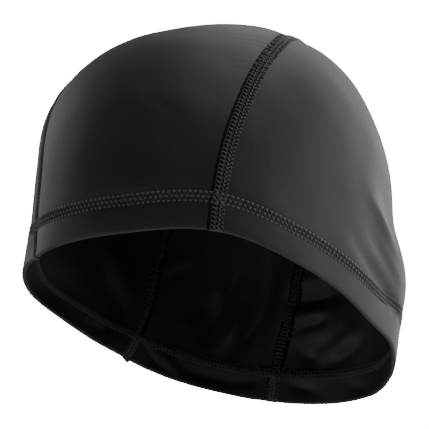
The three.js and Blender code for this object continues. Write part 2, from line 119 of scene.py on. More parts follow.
# Creases: finer than folds, in the same columns, but in shares of the crease width and crease rise
CREASES = [
    Fold(90, 0.5, 105, 0.36, 0.7, 1.2),
    Fold(80, 0.24, 108, 0.13, 0.8, -1.3),
    Fold(71, 0.23, 96, 0.16, 1.0, 0.4),
    Fold(88, 0.36, 104, 0.26, 0.8, -0.8),
    Fold(97, 0.34, 108, 0.24, 0.7, 0.6),
    Fold(94, 0.2, 110, 0.17, 0.6, 0.5),
    Fold(9, 0.56, 20, 0.47, 0.6, -0.14),
    Fold(-41, 0.14, -61, 0.06, 1.3, 0.7),
    Fold(-35, 0.08, -58, 0.03, 1.0, -0.4),
    Fold(-158, 0.58, -148, 0.26, 1.0, 1.8),
    Fold(-155, 0.57, -151, 0.36, 0.9, -1.4),
    Fold(-160, 0.4, -153, 0.21, 0.8, -1.6),
    Fold(-164, 0.38, -156, 0.19, 0.8, 1.5),
    Fold(-138, 0.28, -147, 0.31, 1.8, -1.0),
    Fold(-131, 0.42, -141, 0.57, 1.0, 1.3),
    Fold(-134, 0.51, -145, 0.63, 0.9, -1.1),
    Fold(-111, 0.42, -115, 0.21, 1.0, 1.3),
    Fold(-120, 0.42, -123, 0.26, 0.9, -1.1),
    Fold(-117, 0.34, -118, 0.19, 0.7, 1.0),
    Fold(-115, 0.49, -117, 0.38, 0.8, -0.8),
    Fold(-169, 0.7, -164, 0.3, 1.4, 2.0),
    Fold(-172, 0.56, -171, 0.38, 0.7, -1.0),
    Fold(184, 0.47, 168, 0.51, 1.2, 2.6),
    Fold(182, 0.57, 172, 0.59, 0.9, -1.4),
    Fold(183, 0.42, 172, 0.45, 1.0, -1.6),
    Fold(184, 0.35, 174, 0.4, 0.8, 1.8),
    Fold(180, 0.33, 170, 0.34, 1.3, -1.3),
    Fold(174, 0.18, 159, 0.26, 1.0, 2.2),
    Fold(172, 0.25, 160, 0.32, 1.0, -1.3),
    Fold(182, 0.24, 177, 0.19, 0.9, 1.8),
    Fold(-126, 0.11, -131, 0.03, 0.7, 1.4),
    Fold(-130, 0.11, -138, 0.05, 0.8, -1.3),
    Fold(-135, 0.07, -163, 0.07, 0.9, 1.2),
    Fold(-165, 0.045, -158, 0.03, 0.7, -0.8),
    Fold(-175, 0.09, -184, 0.055, 0.7, 1.2),
    Fold(162, 0.07, 152, 0.04, 0.8, 1.2),
    Fold(-99, 0.055, -109, 0.085, 0.8, 0.9),
    Fold(-107, 0.06, -116, 0.055, 1.0, -1.0),
]

# Puckers beside a seam: side, 1 towards the wearer's left or -1, arcs where they start and end, and shares of
# the pucker reach and pucker rise
Pucker = namedtuple("Pucker", "side towards start end reach rise")
PUCKERS = [
    Pucker("left", -1, 44, 88, 1.0, 1.0),
    Pucker("left", 1, 52, 84, 0.5, 0.4),
    Pucker("right", 1, 50, 100, 0.6, 0.5),
    Pucker("left", 1, 176, 222, 0.9, 1.2),
    Pucker("left", -1, 150, 215, 0.6, 0.8),
    Pucker("right", 1, 150, 205, 0.7, 0.9),
]

# How far the ripples of a pucker slant, how unevenly they follow each other and how soon that changes
PUCKER_SLANT = 0.45
PUCKER_UNEVENNESS = 1.7
PUCKER_CHANGE = 0.9

# Where round the cap the hem draws the cloth in at the forehead
HEM_DRAW_MIDDLE = 12 * DEGREE
HEM_DRAW_SPAN = 26 * DEGREE

# Slow waves that make the stretched cloth a little uneven
SOFT_WAVES = 14
WAVE_SEED = 11
WAVE_LENGTHS = (18 * MM, 46 * MM)

# Search for a seam's course: halvings, degrees from one place to the next, and the widest angle
HALVINGS = 40
COURSE_STEP = 2.5
WIDEST_LATERAL = 85 * DEGREE

# Small turns over which the slope of the cloth and the way of a seam are taken
NORMAL_STEP = 0.004
SEAM_WAY_STEP = 0.01


def unit(vectors):
    """Vectors of length one"""
    return vectors / np.maximum(np.linalg.norm(vectors, axis=-1, keepdims=True), TINY)


def dot(first, second):
    return np.sum(first * second, axis=-1)


def mix(first, second, share):
    return first * (1 - share) + second * share


def read_table(rows, at, period=0.0):
    """Smooth curve through rows of place and value; a closed table repeats after its period"""
    places, values = np.array(rows, float).T
    at = np.asarray(at, float)
    if period:
        places = np.concatenate([places[-2:] - period, places, places[:2] + period])
        values = np.concatenate([values[-2:], values, values[:2]])
        at = np.mod(at, period)
    else:
        at = np.clip(at, places[0], places[-1])
    slopes = np.gradient(values)
    slopes[1:-1] = (values[2:] - values[:-2]) / (places[2:] - places[:-2])
    slopes[0] = (values[1] - values[0]) / (places[1] - places[0])
    slopes[-1] = (values[-1] - values[-2]) / (places[-1] - places[-2])
    start = np.clip(np.searchsorted(places, at, side="right") - 1, 0, len(places) - 2)
    span = places[start + 1] - places[start]
    t = (at - places[start]) / span
    return (
        values[start] * (2 * t**3 - 3 * t**2 + 1)
        + slopes[start] * span * (t**3 - 2 * t**2 + t)
        + values[start + 1] * (3 * t**2 - 2 * t**3)
        + slopes[start + 1] * span * (t**3 - t**2)
    )


def azimuth_of(direction):
    return np.arctan2(direction[..., 0], -direction[..., 1])


def elevation_of(direction):
    return np.arctan2(direction[..., 2], np.hypot(direction[..., 0], direction[..., 1]))


def lateral_of(direction):
    return np.arctan2(direction[..., 0], np.hypot(direction[..., 1], direction[..., 2]))


def arc_of(direction):
    arc = np.arctan2(direction[..., 2], -direction[..., 1])
    return np.where(arc < -math.pi / 2, arc + 2 * math.pi, arc)


def turn_of(direction, turn_sign):
    """Azimuth counted from the front round one side, past the back"""
    turn = azimuth_of(direction) * turn_sign
    return np.where(turn < -math.pi / 2, turn + 2 * math.pi, turn)


def from_azimuth(azimuth, elevation):
    level = np.cos(elevation)
    return np.stack([level * np.sin(azimuth), -level * np.cos(azimuth), np.sin(elevation)], -1)


def from_arc(arc, lateral):
    level = np.cos(lateral)
    return np.stack([np.sin(lateral), -level * np.cos(arc), level * np.sin(arc)], -1)


def by_facing(azimuth, table):
    facing = np.cos(azimuth)
    end = np.where(facing > 0, table["front"], table["back"])
    return table["side"] + (end - table["side"]) * facing**2


def halve(low, high, is_past):
    """Values between two others at which a test starts to hold"""
    for _ in range(HALVINGS):
        middle = (low + high) / 2
        past = is_past(middle)
        high = np.where(past, middle, high)
        low = np.where(past, low, middle)
    return (low + high) / 2


class CapForm:
    """The cloth's outer face, as a function of the direction from the widest level's middle"""

    def __init__(self, form, cloth):
        # Takes every size of the two groups by its own name, such as half_width or thickness
        for sizes in (form, cloth):
            for name in sizes.__annotations__:
                setattr(self, name, getattr(sizes, name))
        self.lift = np.array([0, 0, self.thickness - self.crown_rise])
        first, last = SEAM_LINE["left"][0][0], SEAM_LINE["left"][-1][0]
        arcs = np.arange(first, last + COURSE_STEP / 2, COURSE_STEP)
        self.courses = {side: self.seam_course(side, arcs) for side in SEAM_LINE}
        self.swells = [self.placed_swell(swell) for swell in SWELLS]
        self.folds = [self.placed_fold(fold, self.fold_width, self.fold_rise) for fold in FOLDS]
        self.folds += [self.placed_fold(fold, self.crease_width, self.crease_rise) for fold in CREASES]
        chance = np.random.default_rng(WAVE_SEED)
        self.waves = [
            (unit(chance.normal(size=3)), chance.uniform(*WAVE_LENGTHS), chance.uniform(0, 2 * math.pi))
            for _ in range(SOFT_WAVES)
        ]

    def seam_course(self, side, arcs):
        """Pairs of arc and lateral angle, in which a seam keeps its distances from the middle"""
        offsets = read_table(SEAM_LINE[side], arcs) * self.half_width

        def is_past(lateral):
            direction = from_arc(arcs * DEGREE, lateral)
            return self.form_point(azimuth_of(direction), elevation_of(direction))[..., 0] > offsets

        wide = np.full(arcs.shape, WIDEST_LATERAL)
        return np.stack([arcs, halve(-wide, wide, is_past)], 1)

    def plan_radius(self, azimuth):
        """Reach of the widest level"""
        facing = np.cos(azimuth)
        reach = np.where(facing > 0, self.front_reach, self.back_reach)
        power = mix(PLAN_POWER["back"], PLAN_POWER["front"], (1 + facing) / 2)
        across = np.abs(np.sin(azimuth) / self.half_width) ** power
        return (across + np.abs(facing / reach) ** power) ** (-1 / power)

    def form_point(self, azimuth, elevation):
        """Points of the plain form, without its loose cloth"""
        radius = self.plan_radius(azimuth)
        power = by_facing(azimuth, PROFILE_POWER)
        level = np.maximum(np.cos(elevation), TINY) / radius
        rise = np.maximum(np.sin(elevation), 0) / self.crown_rise
        reach = (level**power + rise**power) ** (-1 / power)
        drop = radius * np.tan(np.minimum(elevation, 0))
        drawn = radius * (1 - by_facing(azimuth, DRAW_IN) * (drop / DRAW_IN_DEPTH) ** 2)
        out = np.where(elevation > 0, reach * np.cos(elevation), drawn)
        height = np.where(elevation > 0, reach * np.sin(elevation), drop)
        return np.stack([out * np.sin(azimuth), -out * np.cos(azimuth), height], -1)

    def elevation_at(self, azimuth, height):
        """Elevations at which the plain form has some heights"""
        radius = self.plan_radius(azimuth)
        power = by_facing(azimuth, PROFILE_POWER)
        share = np.clip(height / self.crown_rise, 0, 1)
        level = np.where(height > 0, (1 - share**power) ** (1 / power), 1)
        return np.arctan2(height, radius * level)

    def hem_height(self, azimuth):
        fall = read_table(HEM_LINE, azimuth / DEGREE, 360)
        return self.crown_rise - mix(self.front_depth, self.nape_depth, fall)

    def above_hem(self, azimuth, height):
        """Directions of places at some heights above the hem edge"""
        return from_azimuth(azimuth, self.elevation_at(azimuth, self.hem_height(azimuth) + height))

    def seam_lateral(self, side, arc):
        return read_table(self.courses[side], arc / DEGREE)

    def seam_direction(self, side, arc):
        return from_arc(arc, self.seam_lateral(side, arc))

    def placed_swell(self, swell):
        azimuth = np.array(swell.azimuth * DEGREE)
        direction = self.above_hem(azimuth, swell.height * self.crown_rise)
        return (
            self.form_point(azimuth, elevation_of(direction)),
            np.array([math.cos(azimuth), math.sin(azimuth), 0]),
            swell.along_span * self.half_width,
            swell.up_span * self.half_width,
            swell.rise * self.swell_rise,
        )

    def placed_fold(self, fold, width, rise):
        ends = []
        for turn, height in ((fold.azimuth, fold.height), (fold.to_azimuth, fold.to_height)):
            azimuth = np.array(turn * DEGREE)
            direction = self.above_hem(azimuth, height * self.crown_rise)
            ends.append(self.form_point(azimuth, elevation_of(direction)))
        along = ends[1] - ends[0]
        length = np.linalg.norm(along)
        return ends[0], along / length, length, fold.width * width, fold.rise * rise

    def from_seam(self, point, side):
        """Distance on the cloth from a seam's middle line, towards the wearer's left"""
        away = lateral_of(point) - self.seam_lateral(side, arc_of(point))
        return away * np.linalg.norm(point, axis=-1)

    def puckers(self, point):
        """Short ripples that run into the seams"""
        arc = arc_of(point) / DEGREE
        relief = np.zeros(arc.shape)
        for pucker in PUCKERS:
            away = self.from_seam(point, pucker.side) * pucker.towards
            reach = self.pucker_reach * pucker.reach
            place = arc * DEGREE * np.linalg.norm(point, axis=-1)
            phase = (place + PUCKER_SLANT * away) / self.pucker_pitch
            ripple = np.sin(2 * math.pi * phase + PUCKER_UNEVENNESS * np.sin(phase * PUCKER_CHANGE))
            middle = np.clip((arc - pucker.start) / (pucker.end - pucker.start), 0, 1)
            fade = np.exp(-np.maximum(away, 0) / reach) * (away > 0) * np.sin(math.pi * middle)
            relief += self.pucker_rise * pucker.rise * ripple * fade
        return relief

    def tucks(self, point):
        """Cloth that the seams draw in"""
        relief = np.zeros(point.shape[:-1])
        for side in SEAM_LINE:
            away = self.from_seam(point, side)
            tuck = self.tuck_depth * read_table(SEAM_TUCK[side], arc_of(point) / DEGREE)
            relief -= tuck * np.exp(-((away / self.tuck_width) ** 2))
        return relief

    def swells_and_folds(self, point):
        """Cloth that hangs loose"""
        relief = np.zeros(point.shape[:-1])
        for centre, along, along_span, up_span, rise in self.swells:
            away = point - centre
            run = dot(away, along)
            up = dot(away, away) - run**2
            relief += rise * np.exp(-((run / along_span) ** 2) - up / up_span**2)
        for start, along, length, width, rise in self.folds:
            away = point - start
            across = unit(np.cross(point, along))
            run = dot(away, along)
            inside = np.clip(run, 0, length)
            fade = np.exp(-((dot(away, across) / width) ** 2) - ((run - inside) / width) ** 2)
            swell = mix(FOLD_END_SHARE, 1, np.sin(math.pi * inside / length))
            relief += np.where(point @ start > 0, rise * fade * swell, 0)
        return relief

    def hem_draws(self, point):
        """Cloth that the hem's stitching, its folded edge and its pull at the forehead draw in"""
        above = point[..., 2] - self.hem_height(azimuth_of(point)) - self.band_height
        relief = -self.stitch_sink * np.exp(-((above / self.stitch_width) ** 2))
        relief -= self.edge_draw * np.exp(-np.maximum(above + self.band_height, 0) / self.edge_reach)
        in_front = np.exp(-(((azimuth_of(point) - HEM_DRAW_MIDDLE) / HEM_DRAW_SPAN) ** 2))
        pull = 1 / (1 + np.exp((above - self.hem_draw_reach) / self.hem_draw_reach))
        return relief - self.hem_draw * in_front * pull

    def relief(self, point):
        """How far the loose cloth stands off its plain form"""
        relief = self.tucks(point) + self.swells_and_folds(point) + self.hem_draws(point)
        relief += self.puckers(point)
        for way, length, phase in self.waves:
            relief += self.wave_rise / SOFT_WAVES * np.sin(2 * math.pi * (point @ way) / length + phase)
        return relief

    def outer(self, direction):
        """Points of the outer face in the given directions"""
        point = self.form_point(azimuth_of(direction), elevation_of(direction))
        reach = (self.front_reach + self.back_reach) / 2
        shape = np.array([self.half_width, reach, self.crown_rise])
        raised = np.stack([point[..., 0], point[..., 1], np.maximum(point[..., 2], 0)], -1)
        return point + unit(raised / shape**2) * self.relief(point)[..., None]

    def normal(self, direction):
        """Outward normals of the outer face"""
        across = np.stack([-direction[..., 1], direction[..., 0], np.zeros(direction.shape[:-1])], -1)
        across = unit(across + np.array([TINY, 0, 0]))
        upward = np.cross(direction, across)

        def slope(along):
            ahead = self.outer(unit(direction + along * NORMAL_STEP))
            return ahead - self.outer(unit(direction - along * NORMAL_STEP))

        normal = unit(np.cross(slope(across), slope(upward)))
        return normal * np.sign(dot(normal, direction))[..., None]

    def seam_arc_above(self, side, at_back, heights):
        """Arcs at which a seam stands some heights above the hem edge"""
        heights = np.asarray(heights, float)
        end = SEAM_LINE[side][-1 if at_back else 0][0] * DEGREE
        crown = np.full(heights.shape, math.pi / 2)

        def is_past(arc):
            direction = self.seam_direction(side, arc)
            azimuth = azimuth_of(direction)
            point = self.form_point(azimuth, elevation_of(direction))
            return point[..., 2] < self.hem_height(azimuth) + heights

        return halve(crown, np.full(heights.shape, end), is_past)

    def seam_frame(self, side, arcs):
        """Outer points on a seam, their normals, and the way across to the wearer's left"""
        direction = self.seam_direction(side, arcs)
        ahead = self.outer(self.seam_direction(side, arcs + SEAM_WAY_STEP))
        behind = self.outer(self.seam_direction(side, arcs - SEAM_WAY_STEP))
        normal = self.normal(direction)
        across = unit(np.cross(ahead - behind, normal))
        return self.outer(direction), normal, across * np.sign(across[..., :1])

    def beside_seam(self, side, arcs, distance, heights=None):
        """Directions at a distance beside a seam, at the heights above the hem edge if they are given"""
        point, _, across = self.seam_frame(side, arcs)
        beside = unit(point + across * distance)
        return beside if heights is None else self.above_hem(azimuth_of(beside), heights)


# Grid of the panels: steps along a seam, the step at which a side panel has its corners, steps across the
# middle strip and steps round the folded edge
ALONG_STEPS = 276
CORNER_STEP = 60
STRIP_STEPS = 92
RIM_STEPS = 8

# From a seam's middle line to a panel's edge, from row to row in the hem, and the rows past its raw edge
EDGE_DISTANCE = 0.1 * MM
HEM_ROW_STEP = 1.15 * MM
RAW_EDGE_ROWS = np.array([0.3, 0.9, 2.1]) * MM


def hem_rows(form):
    """Heights of a panel's rows in its turned hem, and the layers of cloth at each"""
    count = round((form.band_height - form.thickness) / HEM_ROW_STEP)
    folded = np.linspace(form.thickness, form.band_height, count + 1)
    single = form.band_height + RAW_EDGE_ROWS
    heights = np.concatenate([folded, single])
    layers = np.concatenate([np.full(folded.shape, 2.0), np.full(single.shape, 1.0)])
    return heights, layers


def patch(bottom, top, first, last, across, up):
    """Grid of pairs between four lines of pairs whose ends meet at its corners"""
    u = across[None, :, None]
    v = up[:, None, None]
    lower = mix(bottom[0], bottom[-1], u)
    upper = mix(top[0], top[-1], u)
    lines = mix(bottom[None], top[None], v) + mix(first[:, None], last[:, None], u)
    return lines - mix(lower, upper, v)


def hem_grid(form, start, end, turn_sign, heights, shares):
    """Rows of directions along the hem, from one line of directions to another"""
    turns = mix(turn_of(start, turn_sign)[:, None], turn_of(end, turn_sign)[:, None], shares[None])
    return form.above_hem(turn_sign * turns, heights[:, None])


def seam_rows(form, side, distance):
    """Directions beside a seam: its front hem rows, the steps between and its back hem rows"""
    heights, _ = hem_rows(form)
    front = form.seam_arc_above(side, False, heights)
    back = form.seam_arc_above(side, True, heights)
    middle = np.linspace(front[-1], back[-1], ALONG_STEPS + 1)
    return (
        form.beside_seam(side, front, distance, heights),
        form.beside_seam(side, middle, distance),
        form.beside_seam(side, back, distance, heights),
    )


def crown_grid(form):
    """Directions of the middle strip, row by row from the front hem to the hem at the nape"""
    heights, layers = hem_rows(form)
    right = seam_rows(form, "right", EDGE_DISTANCE)
    left = seam_rows(form, "left", -EDGE_DISTANCE)
    shares = np.linspace(0, 1, STRIP_STEPS + 1)
    front = hem_grid(form, right[0], left[0], 1, heights, shares)
    back = hem_grid(form, right[2], left[2], -1, heights, shares)

    def pairs(directions):
        return np.stack([arc_of(directions), lateral_of(directions)], -1)

    up = np.linspace(0, 1, ALONG_STEPS + 1)
    lines = [pairs(line) for line in (front[-1], back[-1], right[1], left[1])]
    middle = patch(*lines, shares, up)[1:-1]
    grid = np.concatenate([front, from_arc(middle[..., 0], middle[..., 1]), back[::-1]])
    inner = np.ones(len(middle))
    return grid, np.concatenate([layers, inner, layers[::-1]])


def side_grid(form, side):
    """Directions of a side panel, row by row from its hem up to the arch of its seam"""
    turn_sign = 1 if side == "left" else -1
    heights, layers = hem_rows(form)
    front, middle, back = seam_rows(form, side, turn_sign * EDGE_DISTANCE)
    across = np.linspace(0, 1, ALONG_STEPS - 2 * CORNER_STEP + 1)
    up = np.linspace(0, 1, CORNER_STEP + 1)
    low = hem_grid(form, front, back, turn_sign, heights, across)

    def pairs(directions):
        return np.stack([turn_of(directions, turn_sign), elevation_of(directions)], -1)

    arch = middle[CORNER_STEP:len(middle) - CORNER_STEP]
    first, last = middle[:CORNER_STEP + 1], middle[::-1][:CORNER_STEP + 1]
    lines = [pairs(line) for line in (low[-1], arch, first, last)]
    high = patch(*lines, across, up)[1:]
    grid = np.concatenate([low, from_azimuth(turn_sign * high[..., 0], high[..., 1])])
    return grid, np.concatenate([layers, np.ones(len(high))])


def hem_rim(outer, inner, neighbour):
    """Rows round a folded hem edge, from the outer face to the inner one"""
    middle = (outer + inner) / 2
    out = (outer - inner) / 2
    down = unit(outer - neighbour) * np.linalg.norm(out, axis=-1, keepdims=True)
    turns = math.pi * np.arange(1, RIM_STEPS) / RIM_STEPS
    return np.stack([middle + out * math.cos(turn) + down * math.sin(turn) for turn in turns])


def run_lengths(points):
    """Length run along the first axis of a grid of points"""
    steps = np.linalg.norm(np.diff(points, axis=0), axis=-1)
    return np.concatenate([np.zeros((1,) + steps.shape[1:]), np.cumsum(steps, 0)])


def grid_faces(rows, columns, closed_rows):
    """Quads of a grid whose rows may join round"""
    row = np.arange(rows if closed_rows else rows - 1)[:, None]
    column = np.arange(columns - 1)[None]
    following = (row + 1) % rows
    corners = [row * columns + column, following * columns + column]
    corners += [following * columns + column + 1, row * columns + column + 1]
    return np.stack(corners, -1).reshape(-1, 4)


def new_mesh(name, points, faces, uv=None, distances=None):
    """Mesh object of quads, with smooth faces and, where given, a UV and distances per point"""
    mesh = bpy.data.meshes.new(name)
    corners = points[faces]
    volume = np.einsum("ij,ij->", corners[:, 0], np.cross(corners[:, 1], corners[:, 2]))
    volume += np.einsum("ij,ij->", corners[:, 0], np.cross(corners[:, 2], corners[:, 3]))
    faces = faces[:, ::-1] if volume < 0 else faces
    mesh.from_pydata(points.tolist(), [], faces.tolist())
    mesh.polygons.foreach_set("use_smooth", [True] * len(mesh.polygons))
    if uv is not None:
        layer = mesh.uv_layers.new(name="cloth")
        loops = np.empty(len(mesh.loops), int)
        mesh.loops.foreach_get("vertex_index", loops)
        layer.data.foreach_set("uv", uv[loops].ravel())
    for distance_name, values in (distances or {}).items():
        distance = mesh.attributes.new(distance_name, "FLOAT", "POINT")
        distance.data.foreach_set("value", values.astype(np.float32))
    mesh.validate()
    mesh.update()
    piece = bpy.data.objects.new(name, mesh)
    bpy.context.scene.collection.objects.link(piece)
    return piece


def make_panel(form, name, grid, layers, hem_at_end):
    """Closed panel of cloth over a grid of directions, with its hem turned up inside"""
    outer = form.outer(grid)
    inner = outer - form.normal(grid) * (layers * form.thickness)[:, None, None]
    outline = [outer]
    if hem_at_end:
        outline.append(hem_rim(outer[-1], inner[-1], outer[-2]))
    outline.append(inner[::-1])
    outline.append(hem_rim(outer[0], inner[0], outer[1])[::-1])
    loop = np.concatenate(outline)
    rows, columns = loop.shape[:2]
    faces = [grid_faces(rows, columns, True)]
    last = len(outer) - 1
    end_rim = RIM_STEPS - 1 if hem_at_end else 0
    row = np.arange(last)
    inner_row = 2 * last + end_rim + 1 - row
    for column, order in ((0, 1), (columns - 1, -1)):
        ends = np.stack([row, inner_row, inner_row - 1, row + 1], -1) * columns + column
        faces.append(ends[:, ::order])
    across = run_lengths(np.swapaxes(outer, 0, 1)).T
    across -= across[:, columns // 2][:, None]
    along = run_lengths(outer)
    uv_outer = np.stack([across, along], -1)
    pads = [uv_outer]
    if hem_at_end:
        pads.append(np.repeat(uv_outer[-1:], RIM_STEPS - 1, 0))
    pads.append(uv_outer[::-1])
    pads.append(np.repeat(uv_outer[:1], RIM_STEPS - 1, 0))
    uv = np.concatenate(pads).reshape(-1, 2)
    above = loop[..., 2] - form.hem_height(azimuth_of(loop)) - form.band_height
    distances = {"above_stitching": above.ravel()}
    points = (loop + form.lift).reshape(-1, 3)
    return new_mesh(name, points, np.concatenate(faces), uv, distances)


# Courses that stitches follow: steps in the turned hem, over the cap and round the hem
Course = namedtuple("Course", "length place points normals across")
TURNED_STEP = 0.5 * MM
OVER_STEPS = 800
ROUND_STEPS = 1200
COURSE_OVERLAP = 2 * DEGREE


def make_course(points, normals, across):
    """Line on the cloth that stitches follow, measured by the length run along it"""
    place = run_lengths(points)
    return Course(place[-1], place, points, normals, across)


def on_course(course, run, aside, lift):
    """Points at a length run along a course, moved aside on the cloth and lifted off it"""
    def read(values):
        return np.stack([np.interp(run, course.place, values[:, axis]) for axis in range(3)], -1)

    normal = unit(read(course.normals))
    across = unit(read(course.across))
    return read(course.points) + across * aside[..., None] + normal * lift[..., None], normal


def joined_lines(parts):
    """One line of points, normals and ways across from several"""
    return [np.concatenate(lines) for lines in zip(*parts)]


def seam_course_outside(form, side):
    """Course of a seam's outer threads: up inside the turned hem, round its edge and over the cap"""
    count = round(form.band_height / TURNED_STEP)
    heights = np.linspace(form.thickness, form.band_height - form.thickness, count)
    ends = [form.seam_arc_above(side, at_back, heights) for at_back in (False, True)]
    parts = []
    for arcs in ends:
        points, normals, across = form.seam_frame(side, arcs)
        inner = points - normals * 2 * form.thickness
        rim = hem_rim(points[:1], inner[:1], points[1:2])[:, 0]
        middle = (points[0] + inner[0]) / 2
        parts.append([
            (inner[::-1], -normals[::-1], across[::-1]),
            (rim[::-1], unit(rim - middle)[::-1], np.repeat(across[:1], len(rim), 0)),
        ])
    arcs = np.linspace(ends[0][0], ends[1][0], OVER_STEPS)
    over = form.seam_frame(side, arcs)
    back = [tuple(line[::-1] for line in part) for part in parts[1][::-1]]
    return make_course(*joined_lines(parts[0] + [over] + back))


def seam_course_inside(form, side):
    """Course of a seam's inner threads, between the two turned hems"""
    start = form.band_height - form.thickness
    ends = [form.seam_arc_above(side, at_back, [start])[0] for at_back in (False, True)]
    arcs = np.linspace(*ends, OVER_STEPS)
    points, normals, across = form.seam_frame(side, arcs)
    return make_course(points - normals * form.thickness, -normals, across)


def hem_course(form, inside):
    """Course round the cap at the height where the hem is stitched down, a little over one turn"""
    turns = np.linspace(-math.pi - COURSE_OVERLAP, math.pi, ROUND_STEPS)
    direction = form.above_hem(turns, form.band_height)
    points, normals = form.outer(direction), form.normal(direction)
    across = unit(form.outer(form.above_hem(turns, form.band_height + MM)) - points)
    if inside:
        return make_course(points - normals * 2 * form.thickness, -normals, across)
    return make_course(points, normals, across)


# Finishes, and their numbers on the pieces made of thread
JERSEY = "Black stretch jersey"
SEWING_THREAD = "Black sewing thread"
COVERING_THREAD = "Black covering thread"
# The cut edges under the stitches are darkened: painted shade between the stitches and a painted shadow line
# beside the seams
SHADED_CUT_EDGE = "Jersey edge under stitches"
THREAD_FINISHES = [SEWING_THREAD, COVERING_THREAD, SHADED_CUT_EDGE]
NEEDLE_FINISH, COVER_FINISH, BED_FINISH = 0, 1, 2

# Corners round a thread, and how far it narrows at its ends
THREAD_SIDES = 5
THREAD_NARROWING = 0.85

# Height of a thread along its length, when it lies along its row and when it crosses to another
ALONG_BOW = (-1.0, 0.4, 1.0, 1.0, 0.4, -1.0)
CROSSING_BOW = (-0.5, 0.7, 1.0, 0.7, -0.5)

# Needle rows of a flatlock seam in shares of half its width, and those of the hem in steps from its middle
FIRST, SECOND, THIRD, FOURTH = -0.84, -0.3, 0.36, 0.98
BETWEEN = (SECOND + THIRD) / 2
LOW, MIDDLE, HIGH = -1, 0, 1

# Like threads of a stitch that repeats: from one to the next, start and run in shares of its pitch, the rows
# it joins, bow and radius in shares of the radius of the thread named, and finish
Strand = namedtuple("Strand", "step start run row to_row bow radius thread finish")
SEAM_OUTSIDE = [
    Strand(1, 0, 0.74, FIRST, FIRST, 0.8, 0.8, "needle", COVER_FINISH),
    Strand(1, 0, 0.74, SECOND, SECOND, 1, 1, "needle", NEEDLE_FINISH),
    Strand(1, 0.5, 0.851, THIRD, THIRD, 1.2, 1.2, "needle", NEEDLE_FINISH),
    Strand(1, 0, 0.74, FOURTH, FOURTH, 1, 1, "cover", NEEDLE_FINISH),
    Strand(1, 0, 0.9, BETWEEN, FIRST, 1.35, 1.6, "cover", NEEDLE_FINISH),
    Strand(1, 0.25, 0.6, THIRD, SECOND, 1, 1.3, "cover", NEEDLE_FINISH),
    Strand(1, 0, 0.5, THIRD, FOURTH, 1, 1, "cover", NEEDLE_FINISH),
    Strand(1, 0.5, 0.5, FOURTH, THIRD, 1, 1, "cover", COVER_FINISH),
]
SEAM_INSIDE = [
    Strand(0.62, 0, 0.15, FIRST, THIRD, 1.2, 1.1, "cover", COVER_FINISH),
    Strand(1.24, 0, 0.74, FIRST, FIRST, 1, 1, "cover", COVER_FINISH),
    Strand(1.24, 0, 0.74, THIRD, THIRD, 1, 1, "cover", COVER_FINISH),
]
HEM_OUTSIDE = [
    Strand(1, 0, 0.629, LOW, LOW, 0.25, 1, "hem", NEEDLE_FINISH),
    Strand(1, 0.5, 0.629, MIDDLE, MIDDLE, 0.25, 1, "hem", NEEDLE_FINISH),
    Strand(1, 0, 0.629, HIGH, HIGH, 0.25, 1, "hem", NEEDLE_FINISH),
    Strand(1, 0, 0.5, LOW, MIDDLE, 1, 1, "cover", COVER_FINISH),
    Strand(1, 0.5, 0.5, MIDDLE, LOW, 1, 1, "cover", COVER_FINISH),
    Strand(1, 0, 0.5, HIGH, MIDDLE, 1, 1, "cover", COVER_FINISH),
    Strand(1, 0.5, 0.5, MIDDLE, HIGH, 1, 1, "cover", COVER_FINISH),
]
HEM_INSIDE = [
    Strand(1, 0, 0.888, LOW, LOW, 1, 1.2, "cover", COVER_FINISH),
    Strand(1, 0, 0.888, HIGH, HIGH, 1, 1.2, "cover", COVER_FINISH),
    Strand(1, 0, 0.35, LOW, HIGH, 1, 1.3, "cover", NEEDLE_FINISH),
    Strand(1, 0.5, 0.2, LOW, HIGH, 1, 1, "cover", COVER_FINISH),
    Strand(1, 0.5, 0.74, MIDDLE, MIDDLE, 1, 1, "cover", COVER_FINISH),
]


def make_threads(paths, normals, radius):
    """Points and faces of many short threads, plump in the middle and narrowed at their ends"""
    strands, steps = paths.shape[:2]
    along = unit(np.gradient(paths, axis=1))
    aside = unit(np.cross(along, normals))
    over = np.cross(aside, along)
    turn = 2 * math.pi * np.arange(THREAD_SIDES) / THREAD_SIDES
    share = np.linspace(-1, 1, steps)
    width = radius * np.sqrt(1 - THREAD_NARROWING * share**4)
    ring = aside[:, :, None] * np.cos(turn)[:, None] + over[:, :, None] * np.sin(turn)[:, None]
    points = paths[:, :, None] + ring * width[:, None, None]
    step = np.arange(steps - 1)[:, None] * THREAD_SIDES
    side = np.arange(THREAD_SIDES)[None]
    following = (side + 1) % THREAD_SIDES
    quads = [step + side, step + following, step + THREAD_SIDES + following, step + THREAD_SIDES + side]
    quads = np.stack(quads, -1).reshape(-1, 4)
    base = (np.arange(strands) * steps * THREAD_SIDES)[:, None, None]
    return points.reshape(-1, 3), (quads[None] + base).reshape(-1, 4)


def strand_runs(strand, starts, pitch, row_step, radius):
    """Runs, ways aside and lifts of all the threads of a strand"""
    bow = np.array(ALONG_BOW if strand.row == strand.to_row else CROSSING_BOW)
    t = np.linspace(0, 1, len(bow))
    run = starts[:, None] + pitch * (strand.start + strand.run * t)
    aside = np.broadcast_to(row_step * mix(strand.row, strand.to_row, t), run.shape)
    lift = np.broadcast_to(radius * strand.bow * bow, run.shape)
    return run, aside, lift


def lay_threads(form, course, runs, radius, finish):
    """Threads laid on a course from their runs, ways aside and lifts"""
    run, aside, lift = runs
    keep = (run.min(1) > 0) & (run.max(1) < course.length)
    paths, normals = on_course(course, run[keep], aside[keep], lift[keep])
    return *make_threads(paths + form.lift, normals, radius), finish


def join_meshes(name, parts):
    """One mesh object from lists of points, quads and the number of their finish"""
    points, faces, finishes, count = [], [], [], 0
    for some_points, some_faces, finish in parts:
        points.append(some_points)
        faces.append(some_faces + count)
        finishes.append(np.full(len(some_faces), finish))
        count += len(some_points)
    piece = new_mesh(name, np.concatenate(points), np.concatenate(faces))
    piece.data.polygons.foreach_set("material_index", np.concatenate(finishes))
    return piece


